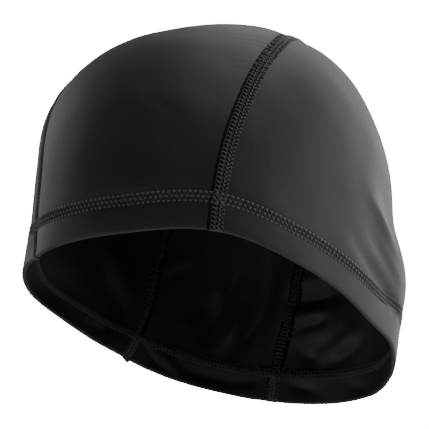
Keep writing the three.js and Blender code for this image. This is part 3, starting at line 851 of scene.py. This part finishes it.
# Lapped edges under a seam's threads: rows across, steps along, how deep they sink into the cloth, and where
# they flatten towards the folded edge of the hem
BED_ROWS = 11
BED_STEP = 1.2 * MM
BED_EDGE_SINK = 0.1 * MM
BED_UNDERSIDE_SINK = 0.3 * MM
RIM_EASE_HEIGHT = 4 * MM
RIM_EASE_SHARE = 0.15


def eased_at_rim(form, course):
    """Shares by which a seam lies flatter near the folded edge of the hem"""
    above = course.points[:, 2] - form.hem_height(azimuth_of(course.points))
    return mix(RIM_EASE_SHARE, 1, np.clip(above / RIM_EASE_HEIGHT, 0, 1))


def seam_bed(form, course, rise, lap_way):
    """Low rounded strip under a seam's threads, with a flat lap of cut edge that points the given way; with
    its dark finish the lap is a painted shadow line beside the seam
    """
    count = round(course.length / BED_STEP)
    run = np.linspace(0, course.length, count)
    ease = np.interp(run, course.place, eased_at_rim(form, course))
    aside = np.linspace(-1, 1, BED_ROWS)
    top = rise * (1 - np.abs(aside) ** 3)
    aside = aside * form.seam_width / 2
    edge = lap_way * form.seam_width / 2
    near_lap = np.abs(aside - edge) < 2 * form.lap_width
    top = np.where(near_lap, np.maximum(top, form.lap_rise), top)
    aside = np.append(aside, edge + lap_way * form.lap_width)
    top = np.append(top, form.lap_rise)
    order = np.argsort(aside)
    aside, top = aside[order], top[order]
    points = []
    for place, height in [*zip(aside, top), *zip(aside[::-1], 0 * top)]:
        lift = height * ease - (BED_EDGE_SINK if height else BED_UNDERSIDE_SINK)
        points.append(on_course(course, run, np.full(count, place), lift)[0])
    loop = np.stack(points) + form.lift
    return loop.reshape(-1, 3), grid_faces(len(loop), count, True), BED_FINISH


def set_shader(shader, **values):
    """Sets constant values on a shader's own sockets"""
    for name, value in values.items():
        shader.inputs[name.replace("_", " ")].default_value = value


def shade(colour, share=1.0):
    """A colour at a share of its brightness, as a shader takes it"""
    return tuple(min(1.0, part * share) for part in colour[:3]) + (1.0,)


class NodeBuilder:
    """Short way to place and link the nodes of one tree"""

    def __init__(self, tree):
        self.tree = tree

    def add(self, kind, **settings):
        node = self.tree.nodes.new(kind)
        for key, value in settings.items():
            setattr(node, key, value)
        return node

    def link(self, source, target):
        self.tree.links.new(source, target)

    def feed(self, target, value):
        if isinstance(value, bpy.types.NodeSocket):
            self.link(value, target)
        else:
            target.default_value = value

    def maths(self, operation, *values):
        node = self.add("ShaderNodeMath", operation=operation)
        for index, value in enumerate(values):
            self.feed(node.inputs[index], value)
        return node.outputs[0]

    def noise(self, vector, scale, detail=2.0, roughness=0.5):
        node = self.add("ShaderNodeTexNoise")
        self.link(vector, node.inputs["Vector"])
        self.feed(node.inputs["Scale"], scale)
        node.inputs["Detail"].default_value = detail
        node.inputs["Roughness"].default_value = roughness
        return node.outputs["Fac"]

    def spread(self, value, low, high, to_low, to_high):
        node = self.add("ShaderNodeMapRange", clamp=True)
        for name, number in zip(("From Min", "From Max", "To Min", "To Max"), (low, high, to_low, to_high)):
            self.feed(node.inputs[name], number)
        self.link(value, node.inputs["Value"])
        return node.outputs["Result"]

    def blend_colours(self, share, first, second):
        node = self.add("ShaderNodeMix", data_type="RGBA")
        self.feed(node.inputs["Factor"], share)
        colour_inputs = [each for each in node.inputs if each.type == "RGBA"]
        self.feed(colour_inputs[0], first)
        self.feed(colour_inputs[1], second)
        return [each for each in node.outputs if each.type == "RGBA"][0]

    def bump(self, height, strength, distance):
        node = self.add("ShaderNodeBump")
        set_shader(node, Strength=strength, Distance=distance)
        self.link(height, node.inputs["Height"])
        return node.outputs["Normal"]


def new_group(name, inputs, outputs):
    """Node group with its named inputs and outputs, and the builder of its nodes; a place has no default"""
    group = bpy.data.node_groups.new(name, "ShaderNodeTree")
    for socket, default in inputs.items():
        kind = "NodeSocketVector" if default is None else "NodeSocketFloat"
        made = group.interface.new_socket(name=socket, in_out="INPUT", socket_type=kind)
        if default is not None:
            made.default_value = default
    for socket in outputs:
        group.interface.new_socket(name=socket, in_out="OUTPUT", socket_type="NodeSocketFloat")
    build = NodeBuilder(group)
    return group, build, build.add("NodeGroupInput").outputs, build.add("NodeGroupOutput").inputs


# Share of a knitted loop's height that its two legs make
LEG_SHARE = 0.6


def knit_group():
    """Stitches of a fine jersey knit, from the cloth's own lengths, with painted shade in the hollows between
    its loops
    """
    inputs = {"Place": None, "Wale pitch": 0.6 * MM, "Course pitch": 0.5 * MM}
    group, build, given, result = new_group("Jersey knit", inputs, ["Height", "Hollow"])
    apart = build.add("ShaderNodeSeparateXYZ")
    build.link(given["Place"], apart.inputs[0])
    wale = build.maths("DIVIDE", apart.outputs["X"], given["Wale pitch"])
    course = build.maths("DIVIDE", apart.outputs["Y"], given["Course pitch"])
    across = build.maths("PINGPONG", wale, 0.5)
    leg = build.maths("SINE", build.maths("MULTIPLY", across, 2 * math.pi))
    slant = build.maths("ADD", course, across)
    loop = build.maths("SINE", build.maths("MULTIPLY", slant, 2 * math.pi))
    loop = build.maths("MULTIPLY_ADD", loop, 0.5, 0.5)
    legs, heads = build.maths("MULTIPLY", leg, LEG_SHARE), build.maths("MULTIPLY", loop, 1 - LEG_SHARE)
    height = build.maths("ADD", legs, heads)
    build.link(height, result["Height"])
    # Painted shade: the low parts of the knit give a mask that darkens the cloth's colour in its hollows
    build.link(build.spread(height, 0.0, 0.5, 1.0, 0.0), result["Hollow"])
    return group


def wear_group():
    """Slow changes of tone and gloss where the cloth is rubbed and stretched"""
    inputs = {"Patch size": 40 * MM, "Grain size": 1 * MM}
    group, build, given, result = new_group("Cloth wear", inputs, ["Patches", "Grain"])
    place = build.add("ShaderNodeTexCoord").outputs["Object"]
    patches = build.noise(place, build.maths("DIVIDE", 1.0, given["Patch size"]), detail=3.0)
    grain = build.noise(place, build.maths("DIVIDE", 1.0, given["Grain size"]), roughness=0.6)
    build.link(build.spread(patches, 0.3, 0.7, 0.0, 1.0), result["Patches"])
    build.link(build.spread(grain, 0.3, 0.7, 0.0, 1.0), result["Grain"])
    return group


def new_material(name):
    """Material with the builder of its nodes and its shader"""
    material = bpy.data.materials.new(name)
    material.use_nodes = True
    return material, NodeBuilder(material.node_tree), material.node_tree.nodes["Principled BSDF"]


# Jersey: tones in shares of its colour, how much of the dark tone (painted shade) its hollows and its
# stitched rows take, how high above the folded edge that edge still shows pale (a painted highlight), and how
# its roughness and its height change
RUBBED_TONE = 1.5
RIM_HIGHLIGHT_TONE = 3.0
SHADED_TONE = 0.1
HOLLOW_SHADE_SHARE = 0.3
STITCH_SHADE_SHARE = 0.35
RIM_HIGHLIGHT_REACH = (0.3 * MM, 1.6 * MM)
PATCH_ROUGHNESS = 0.03
GRAIN_ROUGHNESS = 0.06
STITCHED_ROUGHNESS = 0.12
GRAIN_HEIGHT = 0.8


def cloth_material(groups, cloth):
    """Black stretch jersey with a satin face"""
    material, build, shader = new_material(JERSEY)
    knit = build.add("ShaderNodeGroup", node_tree=groups["knit"])
    build.link(build.add("ShaderNodeUVMap", uv_map="cloth").outputs["UV"], knit.inputs["Place"])
    wear = build.add("ShaderNodeGroup", node_tree=groups["wear"])
    patches, grain = wear.outputs["Patches"], wear.outputs["Grain"]
    above = build.add("ShaderNodeAttribute", attribute_name="above_stitching").outputs["Fac"]
    # Painted shade: the cloth within the stitched reach of the hem stitching is darkened, and also made
    # rougher
    stitch_shade = build.spread(build.maths("ABSOLUTE", above), *cloth.stitched_reach, 1.0, 0.0)
    stitch_shade = build.maths("MULTIPLY", stitch_shade, STITCH_SHADE_SHARE)
    # Painted highlight: the lowest part of the folded hem edge is paler, standing in for light that the fold
    # catches from below
    folded = build.spread(build.maths("ADD", above, cloth.band_height), *RIM_HIGHLIGHT_REACH, 1.0, 0.0)
    # Painted shade in the hollows of the knit
    hollow_shade = build.maths("MULTIPLY", knit.outputs["Hollow"], HOLLOW_SHADE_SHARE)
    shaded = shade(cloth.colour, SHADED_TONE)
    colour = build.blend_colours(patches, shade(cloth.colour), shade(cloth.colour, RUBBED_TONE))
    colour = build.blend_colours(hollow_shade, colour, shaded)
    colour = build.blend_colours(stitch_shade, colour, shaded)
    colour = build.blend_colours(folded, colour, shade(cloth.colour, RIM_HIGHLIGHT_TONE))
    build.link(colour, shader.inputs["Base Color"])
    smoothest, roughest = cloth.roughness - PATCH_ROUGHNESS, cloth.roughness + PATCH_ROUGHNESS
    rough = build.spread(patches, 0.0, 1.0, smoothest, roughest)
    rough = build.maths("ADD", rough, build.maths("MULTIPLY", grain, GRAIN_ROUGHNESS))
    rough = build.maths("ADD", rough, build.maths("MULTIPLY", stitch_shade, STITCHED_ROUGHNESS))
    build.link(rough, shader.inputs["Roughness"])
    height = build.maths("ADD", knit.outputs["Height"], build.maths("MULTIPLY", grain, GRAIN_HEIGHT))
    build.link(build.bump(height, strength=0.35, distance=0.08 * MM), shader.inputs["Normal"])
    set_shader(shader, Sheen_Weight=cloth.sheen, Sheen_Roughness=0.4, Sheen_Tint=(0.9, 0.92, 1.0, 1.0))
    set_shader(shader, Specular_IOR_Level=cloth.gloss)
    return material


# Thread and cut edges: tones in shares of their colours (the cut edges' dark tones are painted shade), and
# how the thread's roughness changes
THREAD_GRAIN_TONE = 2.0
THREAD_ROUGHNESS = 0.05
CUT_EDGE_SHADE_TONES = (0.3, 0.6)
CUT_ROUGHNESS = (0.75, 0.85)


def thread_material(groups, thread, name):
    """Black textured sewing thread; the covering thread is duller"""
    material, build, shader = new_material(name)
    wear = build.add("ShaderNodeGroup", node_tree=groups["wear"])
    set_shader(wear, Patch_size=20 * MM, Grain_size=0.4 * MM)
    dark = shade(thread.colour, 1.0 if name == SEWING_THREAD else thread.cover_tone)
    colour = build.blend_colours(wear.outputs["Grain"], dark, shade(dark, THREAD_GRAIN_TONE))
    build.link(colour, shader.inputs["Base Color"])
    smoothest, roughest = thread.roughness - THREAD_ROUGHNESS, thread.roughness + THREAD_ROUGHNESS
    rough = build.spread(wear.outputs["Patches"], 0.0, 1.0, smoothest, roughest)
    build.link(rough, shader.inputs["Roughness"])
    build.link(build.bump(wear.outputs["Grain"], strength=0.4, distance=0.05 * MM), shader.inputs["Normal"])
    set_shader(shader, Sheen_Weight=0.3, Sheen_Roughness=0.5, Specular_IOR_Level=0.4)
    return material


def shaded_bed_material(groups, cloth):
    """Cut jersey edges under the stitches, darker than the cloth: painted shade between the stitches that
    cover them and a painted shadow line along the lap beside the seam
    """
    material, build, shader = new_material(SHADED_CUT_EDGE)
    wear = build.add("ShaderNodeGroup", node_tree=groups["wear"])
    set_shader(wear, Patch_size=10 * MM, Grain_size=0.5 * MM)
    dark, light = (shade(cloth.colour, tone) for tone in CUT_EDGE_SHADE_TONES)
    build.link(build.blend_colours(wear.outputs["Grain"], dark, light), shader.inputs["Base Color"])
    build.link(build.spread(wear.outputs["Patches"], 0.0, 1.0, *CUT_ROUGHNESS), shader.inputs["Roughness"])
    set_shader(shader, Specular_IOR_Level=0.15)
    return material


# Floor: its two tones, its roughness where they lie, and how many patches they make to a metre
FLOOR_TONES = ((0.86, 0.86, 0.86), (0.9, 0.9, 0.9))
FLOOR_ROUGHNESS = (0.8, 0.9)
FLOOR_PATCHES = 6.0


def floor_material():
    """Pale matt floor with a slight mottle"""
    material, build, shader = new_material("Pale floor")
    place = build.add("ShaderNodeTexCoord").outputs["Object"]
    mottle = build.noise(place, FLOOR_PATCHES, detail=3.0)
    pale, paler = (shade(tone) for tone in FLOOR_TONES)
    build.link(build.blend_colours(mottle, pale, paler), shader.inputs["Base Color"])
    build.link(build.spread(mottle, 0.3, 0.7, *FLOOR_ROUGHNESS), shader.inputs["Roughness"])
    return material


def finish_of(name):
    """Material by its name, made when it is first asked for"""
    found = bpy.data.materials.get(name)
    if found:
        return found
    scene = bpy.context.scene
    groups = {
        "knit": bpy.data.node_groups.get("Jersey knit") or knit_group(),
        "wear": bpy.data.node_groups.get("Cloth wear") or wear_group(),
    }
    if name == JERSEY:
        return cloth_material(groups, scene.liner_cloth)
    if name == SHADED_CUT_EDGE:
        return shaded_bed_material(groups, scene.liner_cloth)
    return thread_material(groups, scene.liner_thread, name)


def measure(name, description, default):
    """Setting that is a length in metres"""
    return FloatProperty(
        name=name, description=description, default=default, min=0.0, subtype="DISTANCE", unit="LENGTH",
        precision=4,
    )


def factor(name, description, default):
    """Setting from nought to one"""
    return FloatProperty(
        name=name, description=description, default=default, min=0.0, max=1.0, subtype="FACTOR",
    )


def tint(name, description, default):
    """Setting that is a colour"""
    return FloatVectorProperty(
        name=name, description=description, default=default, min=0.0, max=1.0, subtype="COLOR",
    )


class LinerForm(bpy.types.PropertyGroup):
    """Form of the cap as worn, and its loose cloth"""

    half_width: measure("Half width", "From the middle to the widest side", 81.5 * MM)
    front_reach: measure("Front reach", "From the middle to the forehead", 90 * MM)
    back_reach: measure("Back reach", "From the middle to the back", 96 * MM)
    crown_rise: measure("Crown rise", "From the widest level up to the crown", 107 * MM)
    front_depth: measure("Front depth", "From the crown down to the front hem", 107 * MM)
    nape_depth: measure("Nape depth", "From the crown down to the hem at the nape", 170.5 * MM)
    swell_rise: measure("Swell rise", "How far the loose cloth swells", 6 * MM)
    fold_rise: measure("Fold rise", "Height of the folds", 2 * MM)
    fold_width: measure("Fold width", "Half width of the folds", 9 * MM)
    crease_rise: measure("Crease rise", "Height of the finer creases", 1.1 * MM)
    crease_width: measure("Crease width", "Half width of the finer creases", 4 * MM)
    tuck_depth: measure("Tuck depth", "How far the seams draw the cloth in", 1.6 * MM)
    tuck_width: measure("Tuck width", "Half width of the cloth drawn in", 10 * MM)
    pucker_rise: measure("Pucker rise", "Height of the ripples at the seams", 0.16 * MM)
    pucker_pitch: measure("Pucker pitch", "From one ripple to the next", 4.2 * MM)
    pucker_reach: measure("Pucker reach", "How far the ripples run from the seams", 13 * MM)
    wave_rise: measure("Wave rise", "Unevenness of the stretched cloth", 0.5 * MM)


class LinerCloth(bpy.types.PropertyGroup):
    """Cloth and turned hem"""

    thickness: measure("Thickness", "Thickness of one layer of the jersey", 1 * MM)
    band_height: measure("Band height", "Height of the turned hem", 14.5 * MM)
    stitch_sink: measure("Stitch sink", "How far the hem stitching sinks in", 0.35 * MM)
    stitch_width: measure("Stitch width", "Half width of the hem stitching's bed", 2.6 * MM)
    # The lap is a dark strip of cut edge that stands in for the shadow line beside a seam: a painted shadow
    lap_width: measure("Lap width", "How far the cut edge shows on the strip's side of a seam", 0.8 * MM)
    lap_rise: measure("Lap rise", "Height of the cut edge that shows beside a seam", 0.2 * MM)
    # Painted shade: where the darkened cloth round the hem stitches fades
    stitched_reach: FloatVectorProperty(
        name="Stitched reach", description="Where the darker cloth round the hem stitches fades, from and to",
        default=(2.4 * MM, 3.6 * MM), size=2, min=0.0, precision=4, subtype="NONE", unit="LENGTH",
    )
    hem_draw: measure("Hem draw", "How far the hem draws the cloth in at the forehead", 1.8 * MM)
    hem_draw_reach: measure("Hem draw reach", "Height over which the hem draws the cloth in", 2.6 * MM)
    edge_draw: measure("Edge draw", "How far the folded edge of the hem turns in", 0.4 * MM)
    edge_reach: measure("Edge reach", "How far up the folded edge turns in", 2.2 * MM)
    seam_width: measure("Seam width", "Width of the flatlock seams", 6 * MM)
    colour: tint("Colour", "Colour of the jersey", (0.0125, 0.0125, 0.013))
    roughness: factor("Roughness", "Roughness of the jersey's face", 0.5)
    gloss: factor("Gloss", "Strength of the jersey's shine", 0.35)
    sheen: factor("Sheen", "Glow of the jersey's edge", 0.06)


class LinerThread(bpy.types.PropertyGroup):
    """Sewing threads of the seams and the hem"""

    pitch: measure("Pitch", "Length of one stitch", 1.9 * MM)
    needle_radius: measure("Needle radius", "Radius of the plump stitches in the needle rows", 0.27 * MM)
    hem_radius: measure("Hem radius", "Radius of the plump stitches along the hem", 0.58 * MM)
    hem_pitch: measure("Hem pitch", "Length of one stitch along the hem", 2.3 * MM)
    cover_radius: measure("Cover radius", "Radius of the threads that cross between the rows", 0.2 * MM)
    seam_rise: measure("Seam rise", "Height of the lapped edges under a seam", 0.35 * MM)
    hem_row_step: measure("Hem row step", "From one row of the hem stitching to the next", 2.05 * MM)
    colour: tint("Colour", "Colour of the thread", (0.04, 0.04, 0.042))
    cover_tone: factor("Cover tone", "Tone of the covering threads beside the needle threads", 0.5)
    roughness: factor("Roughness", "Roughness of the thread", 0.5)


class LinerStage(bpy.types.PropertyGroup):
    """Floor, light and camera"""

    floor_level: FloatProperty(
        name="Floor level", description="Height of the floor", default=-1.25, subtype="DISTANCE",
        unit="LENGTH",
    )
    floor_radius: measure("Floor radius", "From the middle of the round floor to its edge", 6)
    floor_corners: IntProperty(
        name="Floor corners", description="Corners of the round floor", default=96, min=8,
    )
    backdrop: FloatProperty(
        name="Backdrop", description="Brightness of the backdrop as the camera sees it", default=20.0,
        min=0.0,
    )
    ambient: FloatProperty(
        name="Ambient", description="Brightness of the soft light from all round", default=0.01, min=0.0,
    )
    light: FloatProperty(
        name="Light", description="Strength of all the lamps together", default=1.0, min=0.0,
    )
    camera_distance: measure("Camera distance", "From the camera to the cap", 1.06)


def dress(piece, finishes, nodes=()):
    """Gives a piece its finishes and its body, and hides the model's parts that it stands for"""
    for finish in finishes:
        piece.data.materials.append(finish_of(finish))
    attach(piece, "root")
    for node in nodes:
        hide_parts(node)
    return piece


# Panels as cut flat, with the turned hem: width and length in metres, and area in square metres
FlatCut = namedtuple("FlatCut", "width length area")


def cap_form():
    scene = bpy.context.scene
    return CapForm(scene.liner_form, scene.liner_cloth)


class LINER_OT_crown_panel(bpy.types.Operator):
    """Makes the middle strip of cloth from the front hem over the crown to the nape"""

    bl_idname = "liner.crown_panel"
    bl_label = "Crown panel"

    def execute(self, context):
        form = cap_form()
        grid, layers = crown_grid(form)
        piece = make_panel(form, "crown_cloth", grid, layers, True)
        dress(piece, [JERSEY], ["crown_panel"])
        return {"FINISHED"}


class LINER_OT_side_panels(bpy.types.Operator):
    """Makes the left and the right side panel of cloth"""

    bl_idname = "liner.side_panels"
    bl_label = "Side panels"

    def execute(self, context):
        form = cap_form()
        for side in SEAM_LINE:
            grid, layers = side_grid(form, side)
            piece = make_panel(form, f"{side}_cloth", grid, layers, False)
            dress(piece, [JERSEY], [f"side_panel_{side}"])
        return {"FINISHED"}


class LINER_OT_flatlock_seams(bpy.types.Operator):
    """Makes the two flatlock seams: the lapped edges and the threads on both faces"""

    bl_idname = "liner.flatlock_seams"
    bl_label = "Flatlock seams"

    def execute(self, context):
        form = cap_form()
        thread = context.scene.liner_thread
        for side, lap_way in (("left", -1), ("right", 1)):
            outside = self.seam_parts(form, seam_course_outside(form, side), SEAM_OUTSIDE, thread, lap_way)
            inside = self.seam_parts(form, seam_course_inside(form, side), SEAM_INSIDE, thread, lap_way)
            piece = join_meshes(f"{side}_flatlock", outside + inside)
            dress(piece, THREAD_FINISHES, [f"seam_{side}"])
        return {"FINISHED"}

    def seam_parts(self, form, course, strands, thread, lap_way):
        """Lapped edges and threads of a seam's face"""
        parts = [seam_bed(form, course, thread.seam_rise, lap_way)]
        ease = eased_at_rim(form, course)
        half_width = form.seam_width / 2
        for strand in strands:
            radius = getattr(thread, f"{strand.thread}_radius")
            starts = np.arange(0, course.length, strand.step * thread.pitch)
            run, aside, lift = strand_runs(strand, starts, thread.pitch, half_width, radius)
            across = np.minimum(np.abs(aside / half_width), 1)
            lift = (lift + thread.seam_rise * (1 - across**3)) * np.interp(run, course.place, ease)
            laid = lay_threads(form, course, (run, aside, lift), radius * strand.radius, strand.finish)
            parts.append(laid)
        return parts


class LINER_OT_hem_stitching(bpy.types.Operator):
    """Makes the rows of stitches that hold the turned hem, outside and inside"""

    bl_idname = "liner.hem_stitching"
    bl_label = "Hem stitching"

    def execute(self, context):
        form = cap_form()
        thread = context.scene.liner_thread
        for name, inside, strands, pitch in (
            ("hem_stitches_outside", False, HEM_OUTSIDE, thread.hem_pitch),
            ("hem_stitches_inside", True, HEM_INSIDE, thread.pitch),
        ):
            course = hem_course(form, inside)
            over_seams = self.seam_bumps(form, course, thread)
            starts, pitch = self.stitch_starts(course, pitch)
            parts = []
            for strand in strands:
                radius = getattr(thread, f"{strand.thread}_radius")
                run, aside, lift = strand_runs(strand, starts, pitch, thread.hem_row_step, radius)
                lift = lift + np.interp(run, course.place, over_seams)
                if inside:
                    lift = lift - form.thickness * np.clip(aside / thread.hem_row_step, 0, 1)
                laid = lay_threads(form, course, (run, aside, lift), radius * strand.radius, strand.finish)
                parts.append(laid)
            piece = join_meshes(name, parts)
            dress(piece, THREAD_FINISHES)
        return {"FINISHED"}

    def stitch_starts(self, course, pitch):
        """Starts of the stitches once round the hem, and the pitch that fits them in evenly"""
        once_round = course.length * 2 * math.pi / (2 * math.pi + COURSE_OVERLAP)
        pitch = once_round / round(once_round / pitch)
        return course.length - once_round - pitch + np.arange(0, once_round - pitch / 2, pitch), pitch

    def seam_bumps(self, form, course, thread):
        """Lift of the hem stitching where it crosses the seams"""
        lift = np.zeros(len(course.points))
        for side in SEAM_LINE:
            near = form.from_seam(course.points, side) / (form.seam_width / 2)
            lift += (thread.seam_rise + thread.needle_radius / 2) * np.exp(-np.abs(near) ** 4)
        return lift


def look_at(target, azimuth, elevation, distance):
    """Place of a lamp or camera that looks at a point from an azimuth and an elevation"""
    back = Vector((
        math.sin(azimuth) * math.cos(elevation), -math.cos(azimuth) * math.cos(elevation), math.sin(elevation)
    ))
    right = Vector((0, 0, 1)).cross(back).normalized()
    turned = Matrix((right, back.cross(right), back)).transposed().to_4x4()
    return Matrix.Translation(target + back * distance) @ turned


# Lamps: azimuth and elevation in degrees, distance and sides in metres, and power in watts
Lamp = namedtuple("Lamp", "name azimuth elevation distance width height power")
LAMPS = [
    Lamp("right_softbox", 108, 5, 1.3, 1.4, 1.1, 11.5),
    Lamp("rear_softbox", 165, 12, 1.3, 1.0, 1.2, 8.5),
    Lamp("back_softbox", 176, 54, 1.3, 1.2, 0.9, 5.5),
    Lamp("top_softbox", 85, 70, 1.3, 1.3, 1.3, 11),
    Lamp("left_softbox", -100, 18, 1.3, 0.9, 1.0, 4.2),
    Lamp("low_left_fill", -45, -14, 1.4, 0.9, 0.7, 3.6),
    Lamp("low_right_fill", 128, -22, 1.3, 1.0, 0.7, 2.6),
    Lamp("low_front_fill", 15, -8, 1.4, 1.0, 0.7, 1.9),
]

# Camera: where it stands round the cap, its tilt, what it looks at, its lens and sensor in millimetres, how
# far the picture is shifted in shares of its width, and the nearest that it sees
CAMERA_AZIMUTH = 28.8 * DEGREE
CAMERA_ELEVATION = -8.9 * DEGREE
CAMERA_ROLL = -1.3 * DEGREE
CAMERA_TARGET = Vector((0, 0, -91 * MM))
CAMERA_SENSOR = 36
CAMERA_LENS = 191.2
CAMERA_SHIFT = (0.003, 0.0254)
CAMERA_NEAREST = 10 * MM

WHITE = (1, 1, 1, 1)


class LINER_OT_stage(bpy.types.Operator):
    """Sets the pale floor, the soft studio light and the camera"""

    bl_idname = "liner.stage"
    bl_label = "Stage"

    def execute(self, context):
        stage = context.scene.liner_stage
        self.set_camera(context, stage)
        self.set_floor(context, stage)
        self.set_world(context, stage)
        self.set_lamps(context, stage)
        return {"FINISHED"}

    def set_camera(self, context, stage):
        camera = bpy.data.cameras.new("camera")
        camera.sensor_width = CAMERA_SENSOR
        camera.lens = CAMERA_LENS
        camera.shift_x, camera.shift_y = CAMERA_SHIFT
        camera.clip_start = CAMERA_NEAREST
        made = bpy.data.objects.new("camera", camera)
        place = look_at(CAMERA_TARGET, CAMERA_AZIMUTH, CAMERA_ELEVATION, stage.camera_distance)
        made.matrix_world = place @ Matrix.Rotation(CAMERA_ROLL, 4, "Z")
        context.scene.collection.objects.link(made)
        context.scene.camera = made

    def set_floor(self, context, stage):
        turns = 2 * math.pi * np.arange(stage.floor_corners) / stage.floor_corners
        radius, level = stage.floor_radius, stage.floor_level
        points = [(radius * math.cos(turn), radius * math.sin(turn), level) for turn in turns]
        mesh = bpy.data.meshes.new("floor")
        mesh.from_pydata(points, [], [list(range(len(points)))])
        mesh.materials.append(floor_material())
        floor = bpy.data.objects.new("floor", mesh)
        context.scene.collection.objects.link(floor)

    def set_world(self, context, stage):
        world = bpy.data.worlds.new("studio")
        world.use_nodes = True
        build = NodeBuilder(world.node_tree)
        world.node_tree.nodes.clear()
        soft, seen = build.add("ShaderNodeBackground"), build.add("ShaderNodeBackground")
        set_shader(soft, Color=WHITE, Strength=stage.ambient)
        set_shader(seen, Color=WHITE, Strength=stage.backdrop)
        choice = build.add("ShaderNodeMixShader")
        build.link(build.add("ShaderNodeLightPath").outputs["Is Camera Ray"], choice.inputs[0])
        build.link(soft.outputs[0], choice.inputs[1])
        build.link(seen.outputs[0], choice.inputs[2])
        build.link(choice.outputs[0], build.add("ShaderNodeOutputWorld").inputs["Surface"])
        context.scene.world = world

    def set_lamps(self, context, stage):
        for lamp in LAMPS:
            light = bpy.data.lights.new(lamp.name, "AREA")
            light.shape = "RECTANGLE"
            light.size = lamp.width
            light.size_y = lamp.height
            light.energy = lamp.power * stage.light
            made = bpy.data.objects.new(lamp.name, light)
            place = (lamp.azimuth * DEGREE, lamp.elevation * DEGREE, lamp.distance)
            made.matrix_world = look_at(CAMERA_TARGET, *place)
            context.scene.collection.objects.link(made)


OPERATORS = (
    LINER_OT_stage,
    LINER_OT_crown_panel,
    LINER_OT_side_panels,
    LINER_OT_flatlock_seams,
    LINER_OT_hem_stitching,
)
SETTINGS = {
    "liner_form": LinerForm,
    "liner_cloth": LinerCloth,
    "liner_thread": LinerThread,
    "liner_stage": LinerStage,
}


class LINER_PT_panel(bpy.types.Panel):
    """Lists the cap's sizes and the steps that make it"""

    bl_idname = "LINER_PT_panel"
    bl_label = "Liner cap"
    bl_space_type = "VIEW_3D"
    bl_region_type = "UI"
    bl_category = "Liner cap"

    def draw(self, context):
        for name in SETTINGS:
            box = self.layout.box()
            settings = getattr(context.scene, name)
            for key in settings.__annotations__:
                box.prop(settings, key)
        for operator in OPERATORS:
            self.layout.operator(operator.bl_idname)


def register():
    for name, settings in SETTINGS.items():
        bpy.utils.register_class(settings)
        setattr(bpy.types.Scene, name, PointerProperty(type=settings))
    for operator in OPERATORS:
        bpy.utils.register_class(operator)
    bpy.utils.register_class(LINER_PT_panel)


def unregister():
    bpy.utils.unregister_class(LINER_PT_panel)
    for operator in reversed(OPERATORS):
        bpy.utils.unregister_class(operator)
    for name, settings in SETTINGS.items():
        delattr(bpy.types.Scene, name)
        bpy.utils.unregister_class(settings)


def main():
    register()
    bpy.ops.liner.stage()
    bpy.ops.liner.crown_panel()
    bpy.ops.liner.side_panels()
    bpy.ops.liner.flatlock_seams()
    bpy.ops.liner.hem_stitching()


if __name__ == "__main__":
    main()
